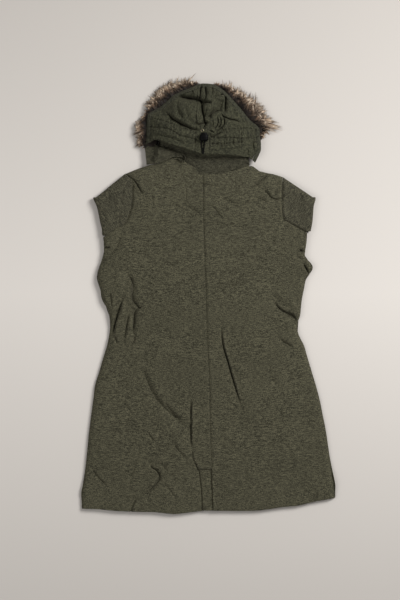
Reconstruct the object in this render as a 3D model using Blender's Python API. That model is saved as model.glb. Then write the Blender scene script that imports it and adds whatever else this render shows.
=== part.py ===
"""Fur trimmed parka, laid flat on its fronts with the back uppermost and both sleeves folded under.

Metres, +Z up. +X is to the right and +Y towards the hood as one looks down on the back.
All sizes below are in millimetres and are turned to metres when a mesh is made.
"""
import math
from collections import namedtuple

import bmesh
import bpy
import numpy as np

MM = 0.001
MIDDLE = np.array([0.95, -8.58, 0.0])   # middle of the whole outline, which becomes the origin

# Driving sizes, millimetres
CLOTH = 2.2                # shell and lining together
SEAM = 0.3                 # gap between neighbouring pieces
EDGE_ROLL = 17.0           # how far in from the side the back starts to roll down
SLEEVE_PLY = 6.0           # flattened sleeve, two plies
SLEEVE_TURN = 7.5          # how far the fold at the side stands out from its centre
SLEEVE_HIDDEN = 465.0      # length of sleeve folded away underneath
SLEEVE_ROOT_HALF = 74.0    # half width of the hidden sleeve near the fold
SLEEVE_CUFF_HALF = 61.0
SLEEVE_RUN = (0.951, -0.309)
DROOP = 35.0               # how far in from the side the fronts come down to the floor
BACK_SLOPE = 120.0         # how far in from the side the back reaches its full height
BELL_SHARE = 0.6           # spread of a fold's bell as a share of its half width
FRONT_INSET = 0.7          # fronts stop this far inside the back's side
HEM_ROW = -548.8           # row of points that is moved onto the hem
HEM_BLEND_Y = -400.0       # above this the rows are straight
TOP_BLEND_Y = 120.0        # above this the rows bend up to the shoulder and neck
ROLL_TOP_Y = 128.0         # underarm, where the back stops rolling over the side
ZIP_HALF = 7.0
ZIP_HALF_AT_TOP = 5.8
VENT_CLOTH = 1.4           # single cloth of the underlap
VENT_LAP = (20.0, 22.0)    # underlap past the vent's edge and past the centre seam
SLEEVE_CLIMB = 6.4         # the right sleeve lies this high where it crosses the left one's cuff
HOOD_EDGE_Z = 20.0
HOOD_RISE = 36.0
HOOD_ROUND = 80.0
HOOD_LIP_Z = 47.0          # greatest height of the lip at the foot of the hood
HOOD_LIP_DROP = 13.0       # greatest depth of the same lip
BRIM_WIDTH = 9.0
COLLAR_HALF_WIDTH = 115.0
COLLAR_TOP_Y = 371.0
COLLAR_CENTRE = -13.0
CORD_DIAMETER = 2.8
EYELET_AT = (-14.2, 387.0)
EYELET_RADIUS = 4.4
LOCK_AT = (-9.8, 371.3)
LOCK_WIDTH = 21.0
LOCK_LENGTH = 20.0
LOCK_THICK = 13.0

Edge = namedtuple("Edge", "y left right")
Mark = namedtuple("Mark", "x y")
Level = namedtuple("Level", "y centre left right")
Fold = namedtuple("Fold", "x0 y0 x1 y1 half_width rise")
Tuft = namedtuple("Tuft", "x y reach")
Step = namedtuple("Step", "ahead share top")

# Sides of the body from the hem up to the underarm.
SIDES = [
    Edge(-536.5, -309.9, 312.4), Edge(-509.6, -311.2, 312.4), Edge(-477.8, -306.3, 308.7),
    Edge(-441.0, -301.4, 303.8), Edge(-392.0, -296.5, 296.5), Edge(-343.0, -291.6, 289.1),
    Edge(-306.3, -286.7, 281.8), Edge(-269.5, -281.8, 274.4), Edge(-232.8, -276.9, 264.6),
    Edge(-208.3, -269.5, 257.3), Edge(-183.8, -262.2, 249.9), Edge(-159.3, -254.8, 242.6),
    Edge(-134.8, -247.5, 235.2), Edge(-110.3, -242.6, 223.0), Edge(-85.8, -240.1, 218.1),
    Edge(-67.0, -242.0, 225.0), Edge(-49.0, -245.0, 227.9), Edge(-24.5, -259.7, 230.3),
    Edge(0.0, -264.6, 235.2), Edge(24.5, -272.0, 240.1), Edge(38.0, -272.0, 248.5),
    Edge(53.9, -268.0, 257.0), Edge(68.0, -262.5, 250.5), Edge(80.0, -258.5, 238.0),
    Edge(96.3, -255.0, 238.5), Edge(112.0, -254.8, 241.0), Edge(126.0, -257.0, 242.4),
]
# Armhole seams, then the shoulder points.
ARMHOLE_LEFT = [
    Mark(-257.7, 128.9), Mark(-206.3, 159.3), Mark(-198.5, 169.0), Mark(-192.6, 186.2),
    Mark(-186.2, 210.7), Mark(-184.7, 245.0), Mark(-185.2, 262.0), Mark(-199.7, 280.5),
    Mark(-202.6, 284.9),
]
ARMHOLE_RIGHT = [
    Mark(243.5, 139.7), Mark(186.2, 170.3), Mark(182.0, 186.0), Mark(181.3, 210.0),
    Mark(181.3, 235.0), Mark(182.5, 276.9),
]
# Outer corner of each sleeve fold and the foot of the fold beside the underarm.
FOLD_LEFT = [Mark(-281.8, 226.6), Mark(-270.7, 196.0), Mark(-263.6, 164.2), Mark(-258.5, 130.4)]
FOLD_RIGHT = [Mark(264.1, 226.9), Mark(259.0, 198.5), Mark(256.0, 170.0), Mark(252.6, 141.2)]
SHOULDER_LEFT = [Mark(-202.6, 284.9), Mark(-241.3, 252.4), Mark(-272.7, 230.3), Mark(-281.8, 226.6)]
SHOULDER_RIGHT = [Mark(182.5, 276.9), Mark(225.4, 251.1), Mark(264.1, 226.9)]
# Upper edge of the back, shoulder to shoulder through the neck seam.
NECK = [
    Mark(-202.6, 284.9), Mark(-178.9, 290.1), Mark(-150.7, 303.8), Mark(-118.3, 309.9),
    Mark(-100.5, 316.8), Mark(-82.0, 323.0), Mark(-66.0, 321.0), Mark(-52.0, 310.0),
    Mark(-30.4, 297.7), Mark(-25.7, 287.0), Mark(-12.0, 284.2), Mark(29.4, 284.2),
    Mark(66.0, 293.0), Mark(102.4, 303.8), Mark(117.6, 297.7), Mark(125.9, 291.6),
    Mark(142.1, 287.1), Mark(161.0, 283.7), Mark(182.5, 276.9),
]
# Upper edge of the fronts, with the lower front neckline.
FRONT_NECK = [
    Mark(-202.6, 284.9), Mark(-150.7, 303.8), Mark(-118.0, 296.0), Mark(-70.0, 262.0),
    Mark(0.0, 248.0), Mark(66.0, 260.0), Mark(108.0, 292.0), Mark(125.9, 291.6),
    Mark(182.5, 276.9),
]
HEM = [
    Mark(-312.0, -536.5), Mark(-269.5, -537.5), Mark(-230.0, -541.5), Mark(-171.5, -543.9),
    Mark(-132.3, -544.5), Mark(-93.0, -548.8), Mark(-73.5, -548.8), Mark(-34.3, -543.9),
    Mark(4.9, -541.5), Mark(103.0, -541.5), Mark(142.0, -538.5), Mark(181.0, -532.5),
    Mark(220.5, -528.5), Mark(259.7, -519.4), Mark(313.0, -509.6),
]
CENTRE_SEAM = [
    Mark(13.5, -548.8), Mark(9.3, -433.7), Mark(5.4, -343.0), Mark(3.4, -220.0),
    Mark(-2.5, -113.0), Mark(-5.6, 10.0), Mark(-11.0, 160.0), Mark(-12.5, 284.2),
]
# Edge of the left back below the head of the vent.
VENT_HEAD = -440.0
VENT_LEFT = [Mark(-14.7, -548.8), Mark(-16.5, -500.0), Mark(-22.0, -446.0)]

# Height of the top of the back.
TOP_LEVEL = [
    Level(-549.0, 13.4, 13.0, 13.0), Level(-450.0, 14.6, 13.8, 13.8), Level(-300.0, 16.2, 14.8, 14.6),
    Level(-190.0, 18.2, 15.8, 15.4), Level(-100.0, 21.0, 18.4, 17.4), Level(-40.0, 22.5, 20.5, 20.5),
    Level(40.0, 24.0, 21.5, 21.5), Level(128.0, 25.0, 21.5, 21.5), Level(225.0, 25.0, 20.5, 20.5),
    Level(285.0, 27.5, 20.0, 20.0), Level(330.0, 29.0, 21.0, 21.0),
]
# Height of the seam between back and front along the sides.
SEAM_LEVEL = [
    Level(-549.0, 0, 3.0, 3.0), Level(-200.0, 0, 3.2, 3.2), Level(-40.0, 0, 4.6, 4.6),
    Level(40.0, 0, 6.0, 6.2), Level(85.0, 0, 10.3, 10.3), Level(160.0, 0, 12.2, 12.2),
    Level(330.0, 0, 12.2, 12.2),
]
# Height of the underside of the fronts: over both sleeves in the middle, near the floor at the sides.
FRONT_LEVEL = [
    Level(-549.0, 0.0, 0.0, 0.0), Level(-126.0, 0.0, 0.0, 0.0), Level(-100.0, 1.6, 0.5, 0.5),
    Level(-66.0, 8.6, 1.2, 1.2), Level(-26.0, 13.3, 1.8, 1.8), Level(40.0, 13.4, 2.5, 2.7),
    Level(85.0, 13.4, 7.0, 7.0), Level(215.0, 13.4, 7.0, 7.0), Level(285.0, 10.4, 6.9, 6.9),
    Level(330.0, 9.0, 6.9, 6.9),
]

# Broad folds of the back and caps; a positive rise is a ridge and a negative one a trough.
FOLDS = [
    Fold(-201, 42, -186, 2, 13, -3.0), Fold(-186, 2, -184, -108, 12, -3.2),
    Fold(-210, -20, -236, -112, 10, -4.0), Fold(-222, 30, -206, -60, 12, 2.6),
    Fold(-170, -12, -160, -118, 16, 1.8), Fold(-196, -52, -208, -130, 9, -2.0),
    Fold(161, -20, 200, -62, 11, -2.6), Fold(200, -62, 217, -84, 10, -4.0),
    Fold(176, -8, 224, -50, 12, 2.2), Fold(169, -115, 194, -132, 12, -1.4),
    Fold(32, -86, 48, -167, 12, -1.4), Fold(48, -167, 81, -290, 12, -2.4),
    Fold(70, -180, 104, -300, 18, 1.6), Fold(-98, -277, -45, -342, 20, -2.6),
    Fold(-45, -342, -30, -410, 12, -1.6), Fold(-120, -300, -66, -376, 22, 1.6),
    Fold(-140, -424, -120, -460, 12, -2.0), Fold(-120, -460, -150, -506, 12, -1.8),
    Fold(-190, -395, -175, -470, 20, 1.5), Fold(-289, -435, -245, -480, 14, -1.2),
    Fold(-198, 283, -166, 232, 11, -3.0), Fold(-186, 250, -192, 190, 10, -2.2),
    Fold(-225, 236, -232, 168, 14, 1.6), Fold(-170, 250, -172, 200, 13, 1.4),
    Fold(160, 283, 108, 244, 12, -2.4), Fold(132, 240, 192, 226, 12, -2.0),
    Fold(20, 228, 152, 218, 22, -1.6), Fold(40, 250, 150, 245, 18, 1.6),
    Fold(-80, 205, -20, 186, 20, -1.2), Fold(-213, 142, -252, 70, 12, -1.6),
    Fold(186, 168, 240, 140, 9, -1.5), Fold(236, 62, 246, 44, 7, -2.0),
]

# Hood: foot of the hood, left to right, then its face edge from lower left over the top to lower right.
HOOD_FOOT = [
    Mark(-141.0, 361.0), Mark(-124.9, 366.0), Mark(-88.2, 350.8), Mark(-56.4, 339.1),
    Mark(-27.0, 328.0), Mark(-10.5, 324.0), Mark(40.0, 325.0), Mark(101.0, 324.0),
]
HOOD_FACE = [
    Mark(-153.5, 356.0), Mark(-150.9, 372.0), Mark(-150.7, 404.3), Mark(-149.0, 424.8),
    Mark(-144.6, 432.9), Mark(-120.8, 446.0), Mark(-102.9, 460.6), Mark(-85.8, 476.3),
    Mark(-73.5, 482.7), Mark(-50.5, 492.5), Mark(-18.0, 504.7), Mark(12.3, 503.5),
    Mark(39.2, 488.8), Mark(61.3, 465.5), Mark(83.3, 441.0), Mark(102.9, 416.5),
    Mark(124.5, 397.6), Mark(126.9, 379.8), Mark(130.0, 346.4), Mark(124.5, 330.0),
    Mark(115.5, 311.5),
]
HOOD_SEAMS = [Mark(-32.6, -26.0), Mark(2.0, 9.5)]     # x at the foot, x at the face edge
HOOD_FOLDS = [
    Fold(-73, 474, -44, 470, 9, -7.0), Fold(-44, 470, -14, 456, 10, -9.0),
    Fold(-13, 500, -10, 452, 9, -7.0), Fold(-15, 452, -10, 414, 10, -8.0),
    Fold(34, 446, 4, 424, 10, -9.0), Fold(41, 470, 41, 430, 8, -5.0),
    Fold(-110, 429, -66, 402, 12, -4.0), Fold(-66, 402, -22, 390, 12, -5.0),
    Fold(-70, 440, -30, 424, 18, 5.0), Fold(18, 470, 30, 486, 12, 4.0),
    Fold(8, 408, 34, 398, 12, 4.0), Fold(10, 372, 44, 402, 9, -4.0),
    Fold(60, 430, 80, 412, 12, -3.0), Fold(-120, 386, -40, 372, 12, 2.0),
]

# Collar from its foot, tucked under the back, to its top: distance ahead, share of its height, top level.
COLLAR_STEPS = [
    Step(-5.0, 0.0, 24.3), Step(2.0, 0.0, 24.7), Step(3.0, 0.2, 28.6), Step(3.0, 0.55, 31.0),
    Step(3.0, 1.0, 32.4),
]

# Left end of the collar, folded over: its free edge over the back, and its fold under the hood.
COLLAR_FLAP_EDGE = [
    Mark(-150.5, 306.5), Mark(-118.3, 310.4), Mark(-100.5, 317.3), Mark(-82.0, 325.2), Mark(-63.0, 324.0),
]
COLLAR_FLAP_FOLD = [
    Mark(-153.5, 334.0), Mark(-137.0, 346.0), Mark(-105.0, 347.0), Mark(-86.0, 345.0), Mark(-58.0, 334.0),
]

# Fur round the face edge: place on the edge and how far the fur stands out beyond it.
FUR = [
    Tuft(-150.5, 331.0, -6.0), Tuft(-153.0, 343.0, 4.0), Tuft(-154.2, 352.0, 26.0),
    Tuft(-153.0, 364.0, 34.0), Tuft(-151.2, 378.0, 36.0), Tuft(-151.0, 396.0, 35.0),
    Tuft(-150.4, 412.0, 28.0), Tuft(-149.0, 424.8, 15.0), Tuft(-141.0, 434.9, 26.0),
    Tuft(-126.0, 443.0, 36.0),
    Tuft(-108.0, 456.5, 42.0), Tuft(-91.0, 471.5, 42.0), Tuft(-73.5, 482.7, 42.0),
    Tuft(-50.5, 492.5, 44.0), Tuft(-32.0, 499.5, 38.0), Tuft(-18.0, 504.7, 22.0),
    Tuft(-2.0, 505.0, 14.0), Tuft(12.3, 503.5, 26.0), Tuft(28.0, 495.0, 34.0),
    Tuft(46.0, 482.0, 38.0), Tuft(61.3, 465.5, 42.0), Tuft(76.0, 449.0, 44.0),
    Tuft(90.0, 433.0, 44.0), Tuft(103.0, 416.5, 42.0), Tuft(116.0, 403.5, 32.0),
    Tuft(124.5, 395.0, 20.0), Tuft(126.9, 379.8, 4.0), Tuft(128.5, 362.0, -2.0),
    Tuft(127.0, 346.4, -5.0), Tuft(118.0, 330.0, -6.0),
]

COLOURS = {
    "cloth": (0.070, 0.065, 0.045), "cloth_front": (0.060, 0.056, 0.039),
    "cloth_hood": (0.045, 0.046, 0.030), "zip_tape": (0.020, 0.020, 0.018),
    "fur": (0.270, 0.190, 0.120), "brass": (0.330, 0.240, 0.110),
    "black_plastic": (0.012, 0.012, 0.012), "cord": (0.016, 0.017, 0.014),
}


def along(marks, value, key="y", wanted="x"):
    """Value of one column of a table of marks at another column's value."""
    rows = sorted(marks, key=lambda row: getattr(row, key))
    keys = [getattr(row, key) for row in rows]
    return np.interp(value, keys, [getattr(row, wanted) for row in rows])


def smooth(q):
    """Soft step from 0 at q = 0 to 1 at q = 1."""
    q = np.clip(q, 0.0, 1.0)
    return q * q * (3.0 - 2.0 * q)


def path_point(marks, share):
    """Point at a share of the length of a line of marks."""
    points = np.array([(mark.x, mark.y) for mark in marks], float)
    steps = np.hypot(*np.diff(points, axis=0).T)
    run = np.concatenate([[0.0], np.cumsum(steps)])
    at = np.asarray(share, float) * run[-1]
    return np.stack([np.interp(at, run, points[:, 0]), np.interp(at, run, points[:, 1])], -1)


def share_at_x(marks, x):
    """Share of the length of a line of marks at which it first reaches x, left to right."""
    points = np.array([(mark.x, mark.y) for mark in marks], float)
    run = np.concatenate([[0.0], np.cumsum(np.hypot(*np.diff(points, axis=0).T))])
    for i in range(len(points) - 1):
        low, high = points[i, 0], points[i + 1, 0]
        if low <= x <= high and high > low:
            return (run[i] + (x - low) / (high - low) * (run[i + 1] - run[i])) / run[-1]
    return 1.0


def distance_to(marks, x, y):
    """Plan distance from points to a line of marks."""
    x, y = np.asarray(x, float), np.asarray(y, float)
    best = np.full(np.broadcast(x, y).shape, 1e9)
    for a, b in zip(marks, marks[1:]):
        run = np.array([b.x - a.x, b.y - a.y])
        size = max(float(run @ run), 1e-9)
        t = np.clip(((x - a.x) * run[0] + (y - a.y) * run[1]) / size, 0.0, 1.0)
        best = np.minimum(best, np.hypot(x - a.x - t * run[0], y - a.y - t * run[1]))
    return best


def fold_rise(folds, x, y):
    """Sum of soft ridges and troughs, each a bell across a straight stretch with faded ends."""
    total = np.zeros(np.broadcast(x, y).shape)
    for fold in folds:
        run = np.array([fold.x1 - fold.x0, fold.y1 - fold.y0])
        length = math.hypot(*run)
        ux, uy = run / length
        s = (x - fold.x0) * ux + (y - fold.y0) * uy
        across = (x - fold.x0) * -uy + (y - fold.y0) * ux
        beyond = np.maximum(0.0, np.maximum(-s, s - length))
        spread = fold.half_width * BELL_SHARE
        total = total + fold.rise * np.exp(-((across ** 2 + beyond ** 2) / (2 * spread ** 2)))
    return total


def left_silhouette():
    """Left outline from the hem round the sleeve to the neck."""
    return ([Mark(row.left, row.y) for row in SIDES] + FOLD_LEFT[::-1] + SHOULDER_LEFT[::-1][1:]
            + NECK[1:3])


def right_silhouette():
    """Right outline from the hem round the sleeve to the neck."""
    return ([Mark(row.right, row.y) for row in SIDES] + FOLD_RIGHT[::-1] + SHOULDER_RIGHT[::-1][1:]
            + NECK[-2:-7:-1])


LEFT_LINE = left_silhouette()
RIGHT_LINE = right_silhouette()


def across_level(levels, x, y, reach):
    """Height between a side value at the silhouette and a centre value `reach` inside it."""
    ys = [row.y for row in levels]
    centre = np.interp(y, ys, [row.centre for row in levels])
    left = np.interp(y, ys, [row.left for row in levels])
    right = np.interp(y, ys, [row.right for row in levels])
    inside = smooth(np.minimum(distance_to(LEFT_LINE, x, y), distance_to(RIGHT_LINE, x, y)) / reach)
    side = np.where(x < 0, left, right)
    return side + (centre - side) * inside


def top_height(x, y):
    """Top of the back and of the sleeve caps."""
    full = across_level(TOP_LEVEL, x, y, BACK_SLOPE) + fold_rise(FOLDS, x, y)
    ys = [row.y for row in SEAM_LEVEL]
    seam = np.where(x < 0, np.interp(y, ys, [r.left for r in SEAM_LEVEL]),
                    np.interp(y, ys, [r.right for r in SEAM_LEVEL]))
    q = np.clip(np.minimum(distance_to(LEFT_LINE, x, y), distance_to(RIGHT_LINE, x, y)) / EDGE_ROLL, 0, 1)
    return seam + (full - seam) * np.sqrt(1.0 - (1.0 - q) ** 2)


def front_height(x, y):
    """Underside of the fronts."""
    return across_level(FRONT_LEVEL, x, y, DROOP)


def hood_height(x, y):
    """Top of the hood, which rises from the face edge inwards."""
    q = np.clip(distance_to(HOOD_FACE, x, y) / HOOD_ROUND, 0.0, 1.0)
    dome = HOOD_EDGE_Z + HOOD_RISE * (1.0 - (1.0 - q) ** 2)
    return dome + fold_rise(HOOD_FOLDS, x, y) * smooth(q * 4.0)


def facets(grid):
    """Corners of both ways of halving every cell of a grid of points."""
    a, b = grid[:-1, :-1].reshape(-1, 3), grid[1:, :-1].reshape(-1, 3)
    c, d = grid[1:, 1:].reshape(-1, 3), grid[:-1, 1:].reshape(-1, 3)
    ways = ((a, b, c), (a, c, d), (a, b, d), (b, c, d))
    return [np.concatenate(corner) for corner in zip(*ways)]


def height_on(corners, x, y):
    """Greatest height of some facets above a place, or 0 where none lies over it."""
    a, b, c = corners
    area = (b[:, 0] - a[:, 0]) * (c[:, 1] - a[:, 1]) - (c[:, 0] - a[:, 0]) * (b[:, 1] - a[:, 1])
    area = np.where(np.abs(area) < 1e-6, 1e-6, area)
    s = ((x - a[:, 0]) * (c[:, 1] - a[:, 1]) - (c[:, 0] - a[:, 0]) * (y - a[:, 1])) / area
    t = ((b[:, 0] - a[:, 0]) * (y - a[:, 1]) - (x - a[:, 0]) * (b[:, 1] - a[:, 1])) / area
    z = a[:, 2] + s * (b[:, 2] - a[:, 2]) + t * (c[:, 2] - a[:, 2])
    inside = (s >= -1e-6) & (t >= -1e-6) & (s + t <= 1.000001)
    return float(np.max(np.where(inside, z, 0.0)))


def material(slot):
    """Material of a slot, made the first time it is asked for."""
    made = bpy.data.materials.get(slot)
    if made:
        return made
    made = bpy.data.materials.new(slot)
    made.use_nodes = True
    shader = made.node_tree.nodes["Principled BSDF"]
    shader.inputs["Base Color"].default_value = (*COLOURS[slot], 1.0)
    shader.inputs["Roughness"].default_value = 0.35 if slot in ("brass", "black_plastic") else 0.9
    shader.inputs["Metallic"].default_value = 1.0 if slot == "brass" else 0.0
    return made


def make_object(name, points, faces, slot):
    """Adds a triangulated closed object made from millimetre points."""
    mesh = bpy.data.meshes.new(name)
    mesh.from_pydata([tuple((np.asarray(p, float) - MIDDLE) * MM) for p in points], [], faces)
    work = bmesh.new()
    work.from_mesh(mesh)
    bmesh.ops.recalc_face_normals(work, faces=work.faces)
    bmesh.ops.triangulate(work, faces=work.faces, quad_method="FIXED", ngon_method="EAR_CLIP")
    work.to_mesh(mesh)
    work.free()
    mesh.materials.append(material(slot))
    bpy.context.scene.collection.objects.link(bpy.data.objects.new(name, mesh))


def grid_normals(outer):
    """Unit normals at the points of a grid."""
    along_u = np.gradient(outer, axis=0)
    along_v = np.gradient(outer, axis=1)
    normal = np.cross(along_u, along_v)
    normal /= np.maximum(np.linalg.norm(normal, axis=2, keepdims=True), 1e-9)
    return normal


def sheet(name, outer, thickness, slot):
    """Closed sheet of one thickness straight below a grid of points."""
    sandwich(name, outer, outer - np.array([0.0, 0.0, thickness]), slot)


def sandwich(name, outer, inner, slot):
    """Closed solid between two grids of the same shape."""
    m, n = outer.shape[:2]
    points = np.concatenate([outer.reshape(-1, 3), inner.reshape(-1, 3)])
    off = m * n

    def at(i, j):
        return i * n + j

    faces = []
    for i in range(m - 1):
        for j in range(n - 1):
            ring = (at(i, j), at(i + 1, j), at(i + 1, j + 1), at(i, j + 1))
            faces.append(ring)
            faces.append(tuple(off + k for k in reversed(ring)))
    rim = [at(i, 0) for i in range(m)] + [at(m - 1, j) for j in range(1, n)]
    rim += [at(i, n - 1) for i in range(m - 2, -1, -1)] + [at(0, j) for j in range(n - 2, 0, -1)]
    for a, b in zip(rim, rim[1:] + rim[:1]):
        faces.append((b, a, off + a, off + b))
    make_object(name, points, faces, slot)


def side_rows():
    """Heights up the body at which the panels have a row of points."""
    rows = [HEM_ROW, -524.0, -498.0, -472.0, -446.0, VENT_HEAD, -412.0, -382.0, -352.0, -322.0, -292.0]
    rows += [-262.0, -232.0, -204.0, -176.0, -150.0, -126.0, -104.0, -84.0, -66.0, -46.0, -26.0]
    rows += [-4.0, 18.0, 36.0, 53.9, 68.0, 80.0, 96.3, 112.0, 126.0]
    return rows


def panel_grid(left_side, top_edge, inset, columns, gap_at_centre, armhole_gap):
    """Plan grid of half the body: u from the centre out to the side, v from the hem to the top."""
    sign = -1.0 if left_side else 1.0
    side_marks = [Mark(row.left if left_side else row.right, row.y) for row in SIDES]
    armhole = ARMHOLE_LEFT if left_side else ARMHOLE_RIGHT
    low, high = armhole[0].y, armhole[-1].y
    climb = np.array([armhole[1].y, 0.35 * armhole[1].y + 0.65 * armhole[2].y, armhole[2].y])
    upper = [low + 2.5, 0.5 * (low + armhole[1].y)] + list(climb)
    upper += [armhole[2].y + (high - 3.0 - armhole[2].y) * k / 6.0 for k in range(1, 7)] + [high]
    rows = side_rows() + upper
    u = np.array(columns)
    grid = np.zeros((len(u), len(rows), 2))
    for j, y in enumerate(rows):
        if y < low:
            edge = along(side_marks, y) - sign * inset
        else:
            edge = along(armhole, y) - sign * armhole_gap
        centre = along(CENTRE_SEAM, y)
        if left_side and y < VENT_HEAD:
            centre = along(VENT_LEFT, y)
        centre = centre + sign * gap_at_centre
        x = centre + (edge - centre) * u
        top_blend = smooth((y - TOP_BLEND_Y) / (high - TOP_BLEND_Y))
        hem_blend = smooth((HEM_BLEND_Y - y) / (HEM_BLEND_Y - HEM_ROW))
        shift_top = along(top_edge, x, "x", "y") - high
        shift_hem = along(HEM, x, "x", "y") - HEM_ROW
        grid[:, j, 0] = x
        grid[:, j, 1] = y + top_blend * shift_top + hem_blend * shift_hem
    return grid


BACK_COLUMNS = [0.0, 0.1, 0.2, 0.3, 0.4, 0.5, 0.6, 0.69, 0.77, 0.84, 0.9, 0.95, 0.985, 1.0]
FRONT_COLUMNS = [0.0, 0.3, 0.6, 0.8, 0.88, 0.95, 1.0]


def make_backs():
    """Both halves of the back; gives back the facets of their tops."""
    tops = []
    for name, left_side in (("back_left", True), ("back_right", False)):
        plan = panel_grid(left_side, NECK, 0.0, BACK_COLUMNS, SEAM / 2, SEAM / 2)
        outer = np.dstack([plan, top_height(plan[..., 0], plan[..., 1])])
        rolled = plan[-1, :, 1] < ROLL_TOP_Y
        normal = grid_normals(outer)
        normal *= -1.0 if normal[..., 2].mean() < 0 else 1.0
        normal[0] = (0.0, 0.0, 1.0)
        normal[:, 0] = (0.0, 0.0, 1.0)
        normal[:, -1] = (0.0, 0.0, 1.0)
        normal[-1, ~rolled] = (0.0, 0.0, 1.0)
        normal[-1, rolled] = (-1.0 if left_side else 1.0, 0.0, 0.0)
        sandwich(name, outer, outer - normal * CLOTH, "cloth")
        tops.append(facets(outer))
    return tops


def make_fronts():
    """Both fronts, cut short of the back's sides and of each other by the width of the zip."""
    for name, left_side in (("front_left", True), ("front_right", False)):
        plan = panel_grid(left_side, FRONT_NECK, FRONT_INSET, FRONT_COLUMNS, ZIP_HALF + SEAM, 4.0)
        lower = np.dstack([plan, front_height(plan[..., 0], plan[..., 1])])
        upper = lower + np.array([0.0, 0.0, CLOTH])
        sandwich(name, upper, lower, "cloth_front")


def make_vent():
    """Underlap behind the open vent, made from the backs' own heights and moved in."""
    rows = [-541.0, -520.0, -500.0, -480.0, -462.0, -446.0, -432.0, -418.0]
    outer = np.zeros((7, len(rows), 3))
    for j, y in enumerate(rows):
        low, high = along(VENT_LEFT, y) - VENT_LAP[0], along(CENTRE_SEAM, y) + VENT_LAP[1]
        x = np.linspace(low, high, 7)
        outer[:, j, 0] = x
        outer[:, j, 1] = y
        outer[:, j, 2] = top_height(x, np.full(7, y)) - CLOTH - SEAM - 0.25
    sheet("vent_underlap", outer, VENT_CLOTH, "cloth")


def make_zip():
    """Closed zip tape down the middle of the fronts."""
    rows = [-540.0] + side_rows()[1:] + [150.0, 175.0, 200.0, 222.0, 240.0]
    lower = np.zeros((3, len(rows), 3))
    for j, y in enumerate(rows):
        half = ZIP_HALF if y < TOP_BLEND_Y else ZIP_HALF_AT_TOP
        x = along(CENTRE_SEAM, y) + np.array([-half, 0.0, half])
        lower[:, j, 0] = x
        lower[:, j, 1] = y
        lower[:, j, 2] = front_height(x, np.full(3, y))
    sandwich("front_zip", lower + np.array([0.0, 0.0, CLOTH]), lower, "zip_tape")


def sleeve_lift(x, left_side):
    """The right sleeve climbs over the cuff of the left one."""
    if left_side:
        return np.zeros_like(x)
    return SLEEVE_CLIMB * smooth((240.0 - x) / 36.0)


def make_sleeve(name, left_side):
    """Sleeve as a double ply strip: cap on top, fold at the side, and the rest folded away below."""
    sign = -1.0 if left_side else 1.0
    fold = FOLD_LEFT if left_side else FOLD_RIGHT
    seam = panel_grid(left_side, NECK, 0.0, [1.0], SEAM / 2, -SEAM / 2)[0]
    start = seam[len(side_rows()) + 2:][::-1].copy()
    share = np.linspace(0.0, 1.0, len(start))
    edge = path_point(fold, share)
    turn = edge - np.array([sign * SLEEVE_TURN, 0.0])
    start[-1] += (sign * 0.9, 1.2)
    turn[-1] += (0.0, 3.4)
    outer, inner = [], []
    for k in np.linspace(0.0, 1.0, 6):
        plan = start + (turn - start) * k
        z = top_height(plan[:, 0], plan[:, 1])
        ply = CLOTH + (SLEEVE_PLY - CLOTH) * smooth(k * 1.2)
        outer.append(np.column_stack([plan, z]))
        inner.append(np.column_stack([plan, z - ply]))
    middle = outer[-1][:, 2] / 2.0
    for angle in np.radians([25, 50, 75, 105, 130, 155, 180]):
        out = math.sin(angle)
        up = math.cos(angle)
        place = turn + np.array([sign * SLEEVE_TURN * out, 0.0])
        outer.append(np.column_stack([place, middle + middle * up]))
        place = turn + np.array([sign * (SLEEVE_TURN - SLEEVE_PLY) * out, 0.0])
        inner.append(np.column_stack([place, middle + (middle - SLEEVE_PLY) * up]))
    run = np.array([-sign * SLEEVE_RUN[0], SLEEVE_RUN[1]])
    side = np.array([sign * SLEEVE_RUN[1], SLEEVE_RUN[0]])
    root = turn.mean(axis=0)
    for step in (0.04, 0.09, 0.15, 0.22, 0.3, 0.4, 0.5, 0.6, 0.7, 0.8, 0.9, 1.0):
        half = SLEEVE_ROOT_HALF + (SLEEVE_CUFF_HALF - SLEEVE_ROOT_HALF) * step
        centre = root + np.array([0.0, -12.0]) * smooth(step * 5.0) + run * SLEEVE_HIDDEN * step
        target = centre + np.outer(1.0 - 2.0 * share, side * half)
        blend = smooth(step / 0.22)
        straight = turn + run * SLEEVE_HIDDEN * step
        plan = straight * (1.0 - blend) + target * blend
        lift = sleeve_lift(plan[:, 0], left_side)
        outer.append(np.column_stack([plan, lift]))
        inner.append(np.column_stack([plan, lift + SLEEVE_PLY]))
    layered_strip(name, np.array(outer), np.array(inner), "cloth")


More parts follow.
